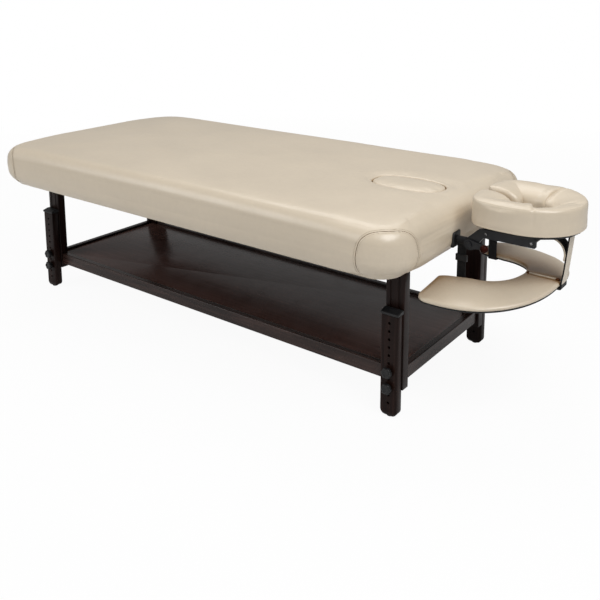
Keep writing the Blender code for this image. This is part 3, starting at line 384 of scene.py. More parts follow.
def woven(name, colour, along, pitch=0.0016):
    """Webbing or plain cloth: ribs across the run and a twill between them."""
    finish = Finish(name, Specular_IOR_Level=0.25, Sheen_Weight=0.12, Sheen_Roughness=0.4)
    finish.feed("Roughness", finish.spread(finish.noise(200.0, 2.0), 0.72, 0.9))
    ribs = finish.node("TexWave", {"Vector": finish.place, "Scale": 1 / pitch / 6.2, "Distortion": 0.6,
                                   "Detail": 1.0, "Detail Scale": 3.0},
                       wave_type="BANDS", bands_direction=along).outputs["Fac"]
    twill = finish.node("TexWave", {"Vector": finish.place, "Scale": 1 / pitch / 4.0, "Distortion": 0.4},
                        wave_type="BANDS", bands_direction="DIAGONAL").outputs["Fac"]
    tone = finish.ramp(ribs, ((0.1, [0.55 * part for part in colour]), (0.8, colour)))
    finish.feed("Base Color", finish.scaled(tone, finish.spread(finish.noise(120.0, 2.0), 0.8, 1.2)))
    lower = finish.bump(ribs, 0.0004, 0.6)
    finish.bump(twill, 0.0002, 0.4, lower)
    return finish.made


def brushed(name, colour, roughness):
    """Bare metal with fine lines across it."""
    finish = Finish(name, Metallic=1.0)
    lines = finish.node("Mapping", {"Vector": finish.place, "Scale": (900, 60, 900)}).outputs["Vector"]
    streak = finish.noise(1.0, 2.0, lines)
    finish.feed("Base Color", finish.scaled((*colour, 1.0), finish.spread(streak, 0.85, 1.1)))
    finish.feed("Roughness", finish.spread(streak, roughness - 0.06, roughness + 0.08))
    finish.bump(streak, 0.00005, 0.3)
    return finish.made


CREAM = (0.622, 0.533, 0.412)
# Painted shade: the darker, warmer tone that the leather takes where ambient occlusion finds it hemmed in.
CREAM_PAINTED_SHADE = (0.33, 0.205, 0.085)
# Painted shadow: the armrests' tone where the face pad blocks the way towards the key lamp.
ARMREST_PAINTED_SHADOW = (0.26, 0.130, 0.036)
POST_DARK, POST_LIGHT = (0.0075, 0.0034, 0.0026), (0.030, 0.0140, 0.0110)
RAIL_DARK, RAIL_LIGHT = (0.0150, 0.0074, 0.0058), (0.062, 0.0325, 0.0260)
PANEL_DARK, PANEL_LIGHT = (0.0820, 0.0400, 0.0315), (0.118, 0.0610, 0.0490)
RED_DARK, RED_LIGHT = (0.012, 0.0014, 0.0006), (0.036, 0.0045, 0.0016)
LOOKS = {
    "cream_leather": leatherette("cream_leatherette", CREAM, CREAM_PAINTED_SHADE),
    # The armrests' tone is tilted towards the key lamp, so it paints the face pad's shadow on them.
    "armrest_leather": leatherette("armrest_leatherette", CREAM, ARMREST_PAINTED_SHADOW, 0.30, (0.38, 0.73),
                                   (0.7, -0.6, 0.0)),
    "thread": moulded("cream_thread", (0.33, 0.255, 0.17), 0.7, 2600.0),
    # Painted shade: the dark colour of the tubes in the seam grooves.
    "seam": moulded("seam_shadow", (0.19, 0.128, 0.078), 0.8, 2600.0),
    "walnut_x": varnished_wood("walnut_lengthwise", "X", RAIL_DARK, RAIL_LIGHT, 0.26, 0.28),
    "walnut_y": varnished_wood("walnut_crosswise", "Y", RAIL_DARK, RAIL_LIGHT, 0.26, 0.28),
    "walnut_z": varnished_wood("walnut_upright", "Z", POST_DARK, POST_LIGHT, 0.32, 0.10),
    "walnut_panel": varnished_wood("walnut_panel", "X", PANEL_DARK, PANEL_LIGHT, 0.22, 0.26),
    "plywood": varnished_wood("birch_plywood", "X", (0.25, 0.16, 0.09), (0.42, 0.30, 0.18), 0.6, 0.3),
    "black_cloth": woven("black_dust_cloth", (0.016, 0.016, 0.017), "X", 0.0011),
    "black_plastic": moulded("black_plastic_skin", (0.009, 0.009, 0.0095), 0.42, specular=0.3),
    "black_metal": moulded("black_powder_coat", (0.008, 0.0085, 0.0105), 0.36, 1500.0, 0.0001, specular=0.3),
    "steel": brushed("dark_steel", (0.26, 0.26, 0.265), 0.24),
    "bronze": brushed("aged_bronze", (0.12, 0.045, 0.018), 0.45),
    "red_wood": varnished_wood("red_beech", "Y", RED_DARK, RED_LIGHT, 0.36, 0.06),
    "rubber": moulded("foot_rubber", (0.018, 0.018, 0.018), 0.75, 700.0),
    "black_webbing": woven("webbing_black", (0.010, 0.010, 0.011), "Z"),
}


# Mesh helpers

def add_object(name, mesh, look, smooth=True):
    made = bpy.data.objects.new(name, mesh)
    bpy.context.scene.collection.objects.link(made)
    for each in look if isinstance(look, (list, tuple)) else [look]:
        mesh.materials.append(LOOKS[each])
    if smooth:
        mesh.shade_smooth()
    return made


def mesh_of(points, faces):
    mesh = bpy.data.meshes.new("mesh")
    mesh.from_pydata([tuple(point) for point in points], [], faces)
    return mesh


def tidy(mesh, sharp=None, weld=True):
    """Weld the points that meet, point the faces out, and crease what is sharper than `sharp`."""
    form = bmesh.new()
    form.from_mesh(mesh)
    if weld:
        bmesh.ops.remove_doubles(form, verts=form.verts, dist=WELD)
    bmesh.ops.recalc_face_normals(form, faces=form.faces)
    form.to_mesh(mesh)
    form.free()
    mesh.shade_smooth()
    if sharp:
        mesh.set_sharp_from_angle(angle=radians(sharp))
    return mesh


def quads(rows, columns, start=0):
    """Faces over rings of points that are stored ring by ring."""
    faces = []
    for row in range(rows - 1):
        first = start + row * columns
        above = first + columns
        for column in range(columns):
            after = (column + 1) % columns
            faces.append((first + column, first + after, above + after, above + column))
    return faces


def skin(rings):
    """Closed faces over rings of equally many points; the two flat ends come last."""
    columns = len(rings[0])
    points = [point for ring in rings for point in ring]
    faces = quads(len(rings), columns)
    faces.append(tuple(range(columns))[::-1])
    faces.append(tuple(range(len(points) - columns, len(points))))
    return mesh_of(points, faces)


def lofted(rings):
    return tidy(skin(rings))


def bridge(form, lower, upper):
    """Faces between two rings of equally many points."""
    for index in range(len(lower)):
        after = (index + 1) % len(lower)
        form.faces.new((lower[index], lower[after], upper[after], upper[index]))


def inside_loop(point, loop):
    """Whether a point lies inside a closed outline, by the sides that a line from it crosses."""
    ahead = np.roll(loop, -1, axis=0)
    crosses = (loop[:, 1] > point.y) != (ahead[:, 1] > point.y)
    rise = np.where(crosses, ahead[:, 1] - loop[:, 1], 1.0)
    at = loop[:, 0] + (point.y - loop[:, 1]) / rise * (ahead[:, 0] - loop[:, 0])
    return bool(np.sum(crosses & (point.x < at)) % 2)


def plate_faces(outer, holes, extra):
    """Flat triangles inside a loop and outside the holes, with more points between."""
    loops = (outer, *holes)
    points = [Vector(point) for loop in (*loops, extra) for point in loop]
    edges, first = [], 0
    for loop in loops:
        edges += [(first + index, first + (index + 1) % len(loop)) for index in range(len(loop))]
        first += len(loop)
    made = geometry.delaunay_2d_cdt(points, edges, [], 0, 1e-7)
    outline, openings = np.array(outer), [np.array(hole) for hole in holes]
    faces = []
    for face in made[2]:
        centre = sum((made[0][index] for index in face), Vector((0, 0))) / len(face)
        if inside_loop(centre, outline) and not any(inside_loop(centre, hole) for hole in openings):
            faces.append(tuple(face))
    return [tuple(point) for point in made[0]], faces


def body_of(node):
    return NODES[node]["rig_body"]


def seat(piece, node):
    """The piece stands for the node: it rides on its body, and the node is hidden."""
    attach(piece, body_of(node))
    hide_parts(node)
    return piece


# Swelling of padded pieces by cloth simulation

def swelling(source, voxel, cap, pinned):
    """How far each part of a padded piece swells: a tree of points and their shifts, up to `cap`."""
    coarse = bpy.data.objects.new("swelling", source.data.copy())
    bpy.context.scene.collection.objects.link(coarse)
    remesh = coarse.modifiers.new("Remesh", "REMESH")
    remesh.mode = "VOXEL"
    remesh.voxel_size = voxel
    graph = bpy.context.evaluated_depsgraph_get()
    mesh = bpy.data.meshes.new_from_object(coarse.evaluated_get(graph))
    coarse.modifiers.clear()
    coarse.data = mesh
    held = coarse.vertex_groups.new(name="held")
    held.add([point.index for point in mesh.vertices if pinned(point.co)], 1.0, "REPLACE")
    cloth = coarse.modifiers.new("Cloth", "CLOTH")
    cloth.settings.quality = 5
    cloth.settings.use_pressure = True
    cloth.settings.uniform_pressure_force = SWELL_PRESSURE
    cloth.settings.vertex_group_mass = held.name
    cloth.settings.effector_weights.gravity = 0
    cloth.point_cache.frame_end = SWELL_FRAMES
    scene = bpy.context.scene
    for number in range(1, SWELL_FRAMES + 1):
        scene.frame_set(number)
    graph = bpy.context.evaluated_depsgraph_get()
    after = coarse.evaluated_get(graph).to_mesh()
    tree = kdtree.KDTree(len(mesh.vertices))
    shifts = []
    for index, (start, end) in enumerate(zip(mesh.vertices, after.vertices)):
        shift = end.co - start.co
        length = shift.length
        shifts.append(shift * (cap * np.tanh(length / cap) / length) if length > WELD else Vector())
        tree.insert(start.co, index)
    tree.balance()
    scene.frame_set(1)
    bpy.data.objects.remove(coarse, do_unlink=True)
    return tree, shifts


def swell(piece, field):
    """Move a piece's points as the simulated points nearest to them moved."""
    tree, shifts = field
    for point in piece.data.vertices:
        total, weight = Vector(), 0.0
        for _, index, distance in tree.find_n(point.co, SWELL_NEAR):
            share = 1 / (distance + SWELL_EASE) ** 2
            total += shifts[index] * share
            weight += share
        point.co += total / weight


def push(mesh, amounts):
    """Move each point along its normal."""
    normals = [point.normal.copy() for point in mesh.vertices]
    for point, normal, amount in zip(mesh.vertices, normals, amounts):
        if amount:
            point.co += normal * float(amount)


# Padded top

def clamped(value):
    return min(max(value, 0), 1)


def ridge(distance, height, width):
    """A soft ridge, or a groove where the height is below zero."""
    return height * np.exp(-(distance / width) ** 2)


def spaced(start, end, step):
    """Even places from start to end, about a step apart."""
    count = max(2, round(abs(end - start) / step))
    return np.linspace(start, end, count + 1)


def top_columns():
    """Places round the top: point, outward direction, corner, distance from its middle, and inward draw."""
    run_x = TOP_HALF_LENGTH - TOP_CORNER
    run_y = TOP_HALF_WIDTH - TOP_CORNER
    quarter = TOP_CORNER * pi / 2
    fine, coarse, margin = 0.0024, 0.022, 0.034
    columns = []
    for number, (side_x, side_y, start) in enumerate(QUARTERS):
        centre = Vector((TOP_MIDDLE.x + side_x * run_x, side_y * run_y))
        for along in spaced(-quarter / 2, quarter / 2, fine)[:-1]:
            angle = radians(start + 45) + along / TOP_CORNER
            outward = Vector((cos(angle), sin(angle)))
            columns.append((centre + outward * TOP_CORNER, outward, number, along, 0.0))
        leaving = radians(start + 90)
        outward = Vector((cos(leaving), sin(leaving)))
        onward = Vector((-sin(leaving), cos(leaving)))
        begin = centre + outward * TOP_CORNER
        length = 2 * (run_x if number % 2 == 0 else run_y)
        steps = [*spaced(0, margin, fine)[:-1], *spaced(margin, length - margin, coarse)[:-1],
                 *spaced(length - margin, length, fine)[:-1]]
        for step in steps:
            near_end = step > length / 2
            corner = (number + 1) % 4 if near_end else number
            along = -quarter / 2 - (length - step) if near_end else quarter / 2 + step
            draw = TOP_SIDE_DRAW * sin(pi * step / length)
            columns.append((begin + onward * step, outward, corner, along, draw))
    return columns


def top_profile():
    """Rows up the side of the top: inset, height, and distance along from below."""
    bottom = TOP_LOW.z
    rows = [(SIDE_FOAM, bottom)]
    side_low = bottom + TOP_UNDER_ROLL
    side_high = EDGE_Z - TOP_ROLL
    fine = 0.0028
    for angle in spaced(0, pi / 2, fine / TOP_UNDER_ROLL):
        rows.append((TOP_UNDER_DEPTH * (1 - sin(angle)), side_low - TOP_UNDER_ROLL * cos(angle)))
    for height in spaced(side_low, side_high, fine)[1:-1]:
        share = (height - side_low) / (side_high - side_low)
        rows.append((-TOP_SIDE_BULGE * sin(pi * share), height))
    for angle in spaced(0, pi / 2, fine / TOP_ROLL):
        rows.append((TOP_ROLL * (1 - cos(angle)), side_high + TOP_ROLL * sin(angle)))
    for inset in spaced(TOP_ROLL, TOP_RIM, 0.006)[1:]:
        rows.append((inset, EDGE_Z))
    travelled, profile = 0.0, []
    for index, (inset, height) in enumerate(rows):
        if index:
            travelled += sqrt((inset - rows[index - 1][0]) ** 2 + (height - rows[index - 1][1]) ** 2)
        profile.append((inset, height, travelled))
    return profile


def hem_rise(along, inset, height):
    """How far the cover is drawn up at a place on the side: most at its lower edge and round the corners."""
    corner = max(1 - (along / CORNER_SPREAD) ** 2, 0) ** 2
    outer = clamped((SIDE_FOAM - inset) / HEM_FADE)
    up = (height - TOP_LOW.z) / (EDGE_Z - TOP_LOW.z)
    return (HEM_RISE + CORNER_RISE * corner) * outer * max(1 - up / HEM_TOP, 0) ** 1.5


def top_crown(x, y):
    """How far the top's middle stands above its edge."""
    across = abs(y) / TOP_HALF_WIDTH
    along = abs(x - TOP_MIDDLE.x) / TOP_HALF_LENGTH
    return TOP_CROWN * max(1 - across ** 2.4, 0) * max(1 - along ** 6, 0)


def corner_droop(x, y, height):
    """How far the top and the upper side fall near a corner."""
    from_end = TOP_HALF_LENGTH - abs(x - TOP_MIDDLE.x)
    from_side = TOP_HALF_WIDTH - abs(y)
    near = max(1 - sqrt(from_end ** 2 + from_side ** 2) / DROOP_REACH, 0)
    up = clamped((height - TOP_LOW.z) / (EDGE_Z - TOP_LOW.z))
    return CORNER_DROOP * near ** 2 * (3 - 2 * near) * up ** 2


def hole_distance(x, y):
    """Distance outside the breath hole's edge."""
    along, across = abs(x - HOLE_X) / HOLE_HALF_LENGTH, abs(y) / HOLE_HALF_WIDTH
    reach = (along ** HOLE_SQUARENESS + across ** HOLE_SQUARENESS) ** (1 / HOLE_SQUARENESS)
    if reach == 0:
        return -HOLE_HALF_WIDTH
    power = HOLE_SQUARENESS - 1
    slope = sqrt((along ** power / HOLE_HALF_LENGTH) ** 2 + (across ** power / HOLE_HALF_WIDTH) ** 2)
    return (reach - 1) * reach ** power / slope


def hole_drop(x, y):
    """How far the cover has rolled down into the breath hole."""
    inward = HOLE_ROLL - max(hole_distance(x, y), 0.0)
    return HOLE_ROLL - sqrt(HOLE_ROLL ** 2 - inward ** 2) if inward > 0 else 0.0


def hole_loop(grow, sides=112):
    """An oval with flattened sides, `grow` outside the breath hole's edge."""
    points = []
    for index in range(sides):
        angle = 2 * pi * index / sides
        along, across = (np.sign(share) * abs(share) ** (2 / HOLE_SQUARENESS)
                         for share in (cos(angle), sin(angle)))
        points.append((HOLE_X + (HOLE_HALF_LENGTH + grow) * along, (HOLE_HALF_WIDTH + grow) * across))
    return points


def patch_half(height):
    """Half width of a corner patch at a height along the side."""
    if height < PATCH_WAIST:
        return PATCH_HALF - (PATCH_HALF - PATCH_FOOT) * (1 - height / PATCH_WAIST) ** 2
    share = min((height - PATCH_WAIST) / (PATCH_HEIGHT - PATCH_WAIST), 1.0)
    return PATCH_HALF * (1 - share ** PATCH_SQUARENESS) ** (1 / PATCH_SQUARENESS)


def patch_seam(low):
    """Points (along, height) of one corner patch's seam, from one foot over the top to the other."""
    half = []
    for step in range(PATCH_STEPS + 1):
        turn = pi / 2 * step / PATCH_STEPS
        height = PATCH_WAIST + (PATCH_HEIGHT - PATCH_WAIST) * sin(turn) ** (2 / PATCH_SQUARENESS)
        half.append((PATCH_HALF * max(cos(turn), 0.0) ** (2 / PATCH_SQUARENESS), height))
    foot = [(patch_half(height), height) for height in np.linspace(low, PATCH_WAIST, PATCH_STEPS // 2)[:-1]]
    side = foot + half
    return np.array(side + [(-along, height) for along, height in side[-2::-1]])


def seam_distance(along, height, path):
    """Signed distance to a seam path, positive outside the patch."""
    gaps = np.min(np.hypot(along[:, None] - path[None, :, 0], height[:, None] - path[None, :, 1]), axis=1)
    inside = np.array([abs(a) < patch_half(h) and h < PATCH_HEIGHT for a, h in zip(along, height)])
    return np.where(inside, -gaps, gaps)


def seam_relief(gap):
    """Groove of the sewn edge, the swell beside it and the dent of the topstitching."""
    beside = np.abs(gap)
    return (ridge(gap, -GROOVE, GROOVE_WIDTH) + ridge(beside - LIP_PLACE, LIP, LIP_WIDTH)
            + ridge(beside - TOPSTITCH, -DENT, DENT_WIDTH))


def top_rim(columns, profile):
    """The top's side and rolled edge, with the relief of the corner patches' seams."""
    points = []
    for inset, height, _ in profile:
        lift = 1.0 if height > TOP_LOW.z + TOP_UNDER_ROLL else 0.0
        side_share = clamped((height - TOP_LOW.z) / TOP_UNDER_ROLL) * clamped((EDGE_Z - height) / TOP_ROLL)
        for place, outward, _, along, draw in columns:
            at = place - outward * (inset + draw * side_share)
            shaped = hem_rise(along, inset, height) + lift * top_crown(at.x, at.y)
            points.append((at.x, at.y, height + shaped - corner_droop(at.x, at.y, height)))
    rim = mesh_of(points, quads(len(profile), len(columns)))
    rim.update()
    along = np.tile([column[3] for column in columns], len(profile))
    travel = np.repeat([row[2] for row in profile], len(columns))
    near = np.flatnonzero((np.abs(along) < PATCH_HALF + PATCH_MARGIN)
                          & (travel < PATCH_HEIGHT + PATCH_MARGIN) & (travel > 0.001))
    gaps = seam_distance(along[near], travel[near], patch_seam(profile[1][2]))
    puff = np.where(gaps < 0, PATCH_PUFF * (1 - np.exp(gaps / PATCH_PUFF_REACH)), 0)
    relief = np.zeros(len(points))
    relief[near] = seam_relief(gaps) + puff
    push(rim, relief * np.clip(travel / PATCH_FADE, 0, 1))
    return rim


def top_points(outer):
    """Places on the top between the rim and the breath hole."""
    edge = np.array(outer[::6])
    points = [point for grow in HOLE_RINGS[1:] for point in hole_loop(grow)]
    for x in np.arange(TOP_LOW.x + TOP_RIM, TOP_HIGH.x - TOP_RIM, TOP_PITCH):
        for y in np.arange(-TOP_HALF_WIDTH + TOP_RIM, TOP_HALF_WIDTH - TOP_RIM, TOP_PITCH):
            inset = min(x - TOP_LOW.x, TOP_HIGH.x - x, TOP_HALF_WIDTH - abs(y))
            clear = inset > TOP_RIM + TOP_PITCH / 3 and hole_distance(x, y) > HOLE_CLEAR
            if clear and inside_loop(Vector((x, y)), edge):
                points.append((x, y))
    return points


def close_top(rim, columns):
    """Add what the rim leaves open: the top, the hole's wall, the ceiling and the wall round the frame."""
    form = bmesh.new()
    form.from_mesh(rim)

    def level(loop, height):
        return [form.verts.new((x, y, height)) for x, y in loop]

    def surface(loop):
        heights = [EDGE_Z + top_crown(x, y) - hole_drop(x, y) - corner_droop(x, y, EDGE_Z) for x, y in loop]
        return [form.verts.new((*point, height)) for point, height in zip(loop, heights)]

    count = len(columns)
    last = len(rim.vertices) - count
    outer = [tuple(rim.vertices[last + index].co[:2]) for index in range(count)]
    hole = hole_loop(HOLE_RINGS[0])
    places, faces = plate_faces(outer, [hole], top_points(outer))
    made = surface(places)
    for face in faces:
        form.faces.new([made[index] for index in face])

    above = surface(hole)
    for height in spaced(EDGE_Z + top_crown(HOLE_X, 0) - HOLE_ROLL, CEILING, HOLE_WALL_STEP)[1:]:
        below = level(hole, height)
        bridge(form, above, below)
        above = below
    frame_loop = [tuple(column[0] - column[1] * SIDE_FOAM) for column in columns[::4]]
    places, faces = plate_faces(frame_loop, [hole], [])
    ceiling = level(places, CEILING)
    for face in faces:
        form.faces.new([ceiling[index] for index in reversed(face)])
    bridge(form, level(frame_loop, CEILING), level(frame_loop, TOP_LOW.z))
    form.to_mesh(rim)
    form.free()


def make_top():
    columns = top_columns()
    profile = top_profile()
    rim = top_rim(columns, profile)
    close_top(rim, columns)
    pad = add_object("top_pad", tidy(rim), "cream_leather")
    sewing = make_patch_sewing(columns, profile)
    field = swelling(pad, TOP_VOXEL, TOP_SWELL, top_is_held)
    for piece in (pad, *sewing):
        swell(piece, field)
    seat(pad, "top_cushion")
    for piece in sewing:
        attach(piece, "table")


def top_is_held(point):
    """The cover is stapled under the frame, and the foam is glued to the deck and round the hole."""
    beside_frame, above_hem, above_deck, round_hole = 0.004, 0.010, 0.012, 0.016
    in_frame = (abs(point.x - TOP_MIDDLE.x) < TOP_HALF_LENGTH - SIDE_FOAM + beside_frame
                and abs(point.y) < TOP_HALF_WIDTH - SIDE_FOAM + beside_frame)
    if point.z < TOP_LOW.z + above_hem or (in_frame and point.z < CEILING + above_deck):
        return True
    return hole_distance(point.x, point.y) < round_hole


def stitch_mesh(places):
    """Short threads: each place is a middle, a direction along and the surface's normal."""
    form = bmesh.new()
    sides = 6
    for middle, onward, normal in places:
        across = onward.cross(normal).normalized()
        rings = []
        for share, size, lift in ((-1.0, 0.35, -0.5), (-0.7, 0.9, 0.2), (0.0, 1.0, 0.6), (0.7, 0.9, 0.2),
                                  (1.0, 0.35, -0.5)):
            centre = middle + onward * share * STITCH_LENGTH / 2 + normal * lift * THREAD
            ring = []
            for index in range(sides):
                angle = 2 * pi * index / sides
                ring.append(form.verts.new(centre + (across * cos(angle) + normal * sin(angle))
                                           * THREAD * size))
            rings.append(ring)
        form.faces.new(rings[0][::-1])
        form.faces.new(rings[-1])
        for lower, upper in zip(rings, rings[1:]):
            bridge(form, lower, upper)
    mesh = bpy.data.meshes.new("stitches")
    form.to_mesh(mesh)
    form.free()
    return tidy(mesh)


def patch_surface(columns, profile, corner):
    """A function from a place on a corner patch, along and up the side, to a point in space."""
    own = [column for column in columns if column[2] == corner and abs(column[3]) < PATCH_HALF + 0.03]
    own.sort(key=lambda column: column[3])
    alongs = [column[3] for column in own]
    across = np.array([(*column[0], *column[1]) for column in own])
    heights = [row[2] for row in profile]
    rows = np.array([row[:2] for row in profile])

    def surface(along, height):
        place_x, place_y, out_x, out_y = (np.interp(along, alongs, across[:, axis]) for axis in range(4))
        inset, z = (np.interp(height, heights, rows[:, axis]) for axis in range(2))
        at = Vector((place_x - out_x * inset, place_y - out_y * inset, 0))
        at.z = z + hem_rise(along, inset, z) + top_crown(at.x, at.y) - corner_droop(at.x, at.y, z)
        return at

    return surface


def along_seam(surface, path, pitch):
    """Middle, direction and normal at even distances along a seam path."""
    travelled = np.concatenate([[0], np.cumsum(np.hypot(*np.diff(path, axis=0).T))])
    small = 0.001
    places = []
    for distance in np.arange(0.004, travelled[-1], pitch):
        along, height = (np.interp(distance, travelled, path[:, axis]) for axis in (0, 1))
        ahead, rise = (np.interp(distance + small, travelled, path[:, axis]) for axis in (0, 1))
        middle = surface(along, height)
        onward = (surface(ahead, rise) - middle).normalized()
        normal = (surface(along + small, height) - middle).cross(surface(along, height + small) - middle)
        places.append((middle, onward, normal.normalized()))
    return places


def make_patch_sewing(columns, profile):
    """A dark tube in the seam groove round each corner patch, as painted shade of the open seam, and a row
    of stitches on each side of it.
    """
    path = patch_seam(profile[1][2] + 0.012)
    stitches, lines = [], []
    for corner in range(4):
        surface = patch_surface(columns, profile, corner)
        for gap in (TOPSTITCH, -TOPSTITCH):
            stitches += along_seam(surface, offset_path(path, gap), STITCH_PITCH)
        rings = []
        for middle, onward, normal in along_seam(surface, path, SEAM_STEP):
            across = onward.cross(normal).normalized()
            centre = middle - normal * SEAM_DEPTH
            rings.append([centre + (across * cos(angle) + normal * sin(angle)) * SEAM_SHADOW_LINE
                          for angle in np.linspace(0, 2 * pi, SEAM_SIDES + 1)[:-1]])
        lines.append(rings)
    points = [point for rings in lines for ring in rings for point in ring]
    faces, first = [], 0
    for rings in lines:
        faces += quads(len(rings), SEAM_SIDES, first)
        first += SEAM_SIDES * len(rings)
    return (add_object("top_stitches", stitch_mesh(stitches), "thread"),
            add_object("top_seam_shadow_lines", tidy(mesh_of(points, faces)), "seam"))


def offset_path(path, gap):
    """The path moved outwards from a corner patch by `gap`."""
    steps = np.gradient(path, axis=0)
    length = np.hypot(steps[:, 0], steps[:, 1])[:, None]
    outward = np.stack([steps[:, 1], -steps[:, 0]], axis=1) / length
    return path + outward * gap


# Soft pieces beside the top

def smooth_loop(corners, count):
    """A closed curve through the corners, as `count` points."""
    corners = np.array(corners, float)
    size = len(corners)
    points = []
    for step in range(count):
        at = size * step / count
        first = int(at)
        share = at - first
        before, start, end, after = (corners[(first + shift) % size] for shift in (-1, 0, 1, 2))
        points.append(0.5 * (2 * start + (end - before) * share
                             + (2 * before - 5 * start + 4 * end - after) * share ** 2
                             + (3 * start - before - 3 * end + after) * share ** 3))
    return np.array(points)


def make_plug():
    sides, gap, roll, crown = 96, 0.0012, 0.010, 0.002
    shoulder = PLUG_HIGH.z - PLUG_SWELL - crown
    steps = [(0.0072, PLUG_LOW.z), (0.0030, PLUG_LOW.z + 0.0012), (gap, PLUG_LOW.z + 0.005)]
    steps += [(gap, height) for height in spaced(PLUG_LOW.z + 0.005, shoulder - roll, 0.008)[1:]]
    for angle in spaced(0, pi / 2, 0.2)[1:]:
        steps.append((gap + roll * (1 - cos(angle)), shoulder - roll * (1 - sin(angle))))
    rings = [[Vector((x, y, height)) for x, y in hole_loop(-inset, sides)] for inset, height in steps]
    edge = rings[-1]
    middle = Vector((HOLE_X, 0, shoulder))
    for share in (0.93, 0.85, 0.75, 0.63, 0.5, 0.36, 0.22, 0.1, 0.03):
        lift = Vector((0, 0, crown * (1 - share ** 2)))
        rings.append([middle.lerp(point, share) + lift for point in edge])
    plug = add_object("breath_plug_pad", lofted(rings), "cream_leather")
    swell(plug, swelling(plug, PLUG_VOXEL, PLUG_SWELL, lambda point: point.z < shoulder - roll))
    seat(plug, "breath_plug")


def face_path(half_band):
    """Points along the middle of the face pad's band, with their outward directions, from end to end."""
    places = []
    for angle in np.linspace(-pi, pi, 1441):
        across, along = sin(angle), cos(angle)
        power = 2.0 if along > 0 else FACE_REAR_SQUARENESS
        reach = FACE_FRONT if along > 0 else FACE_REAR
        share_x = np.sign(along) * abs(along) ** (2 / power)
        share_y = np.sign(across) * abs(across) ** (2 / power)
        outward = Vector((np.sign(along) * abs(share_x) ** (power - 1) / reach,
                          np.sign(across) * abs(share_y) ** (power - 1) / FACE_SIDE, 0)).normalized()
        middle = Vector((FACE_X + reach * share_x, FACE_SIDE * share_y, 0)) - outward * half_band
        if along > 0 or abs(middle.y) > FACE_GAP:
            places.append((middle, outward))
    return places


def make_face_pad():
    cheek, brow = (smooth_loop(shape, FACE_SECTION_POINTS) for shape in (FACE_CHEEK, FACE_BROW))
    half_band = FACE_BAND / 2 - FACE_SWELL * 0.6
    thickness = FACE_TOP - FACE_LOW.z - FACE_SWELL * 0.7
    places = face_path(FACE_BAND / 2)
    travelled = [0.0]
    for (start, _), (end, _) in zip(places, places[1:]):
        travelled.append(travelled[-1] + (end - start).length)
    length = travelled[-1]
    half = [*spaced(0, 0.03, 0.0014), *spaced(0.03, length / 2, 0.0026)[1:]]
    columns = np.array([(*middle, *outward) for middle, outward in places])
    rings = []
    for gone in half + [length - step for step in half[-2::-1]]:
        at = [np.interp(gone, travelled, columns[:, axis]) for axis in range(6)]
        middle, outward = Vector(at[:3]), Vector(at[3:]).normalized()
        size = end_round(min(gone, length - gone), FACE_END_ROUND, FACE_END_SQUARENESS)
        base = Vector((middle.x, middle.y, FACE_LOW.z))
        past = (FACE_SEAM - np.arctan2(abs(middle.y), middle.x - FACE_X)) * (FACE_SIDE - FACE_BAND / 2)
        section = cheek + (brow - cheek) * np.clip(past / FACE_STEP + 0.5, 0, 1)
        rings.append([base + outward * across * half_band * size
                      + Vector((0, 0, up * thickness * (2 + size) / 3)) for across, up in section])
    pad = add_object("face_pad_cover", lofted(rings), "cream_leather")
    swell(pad, swelling(pad, FACE_VOXEL, FACE_SWELL, lambda point: point.z < FACE_LOW.z + 0.006))
    pad.data.update()
    push(pad.data, [face_relief(point.co) for point in pad.data.vertices])
    seat(pad, "face_cushion")


def end_round(distance, length, squareness=2.2):
    """How full a section is at a distance from the rounded end of a pad."""
    share = max(1 - distance / length, 0.0)
    return max((1 - share ** squareness) ** (1 / squareness), 0.05)


def face_relief(place):
    """Seams across the band: the cheek pads are full beside them, and the brow pad lies a little lower."""
    dx, dy = place.x - FACE_X, place.y
    up = (place.z - FACE_LOW.z) / (FACE_TOP - FACE_LOW.z)
    radius = sqrt(dx * dx + dy * dy)
    beside = (np.arctan2(abs(dy), dx) - FACE_SEAM) * radius
    inward = np.clip((FACE_SIDE - radius) / FACE_BAND, 0, 1)
    on_top = np.clip((up - 0.30) / 0.25, 0, 1) * np.clip(inward / 0.06, 0, 1)
    groove = ridge(beside, -FACE_GROOVE, FACE_GROOVE_WIDTH)
    cheek = inward * ridge(beside - FACE_PUFF_PLACE, FACE_PUFF, FACE_PUFF_WIDTH)
    pucker = ridge(beside, FACE_PUCKER, FACE_PUCKER_WIDTH) * sin(beside * FACE_PUCKER_RATE)
    return on_top * (groove + cheek + pucker * np.clip(1 - inward / 0.5, 0, 1))


def armrest_fall(y):
    """How far the armrest has fallen at a distance from the centre line."""
    past = abs(y) - ARMREST_FLAT
    return ARMREST_SLOPE * (past + sqrt(past ** 2 + ARMREST_EASE ** 2)) / 2


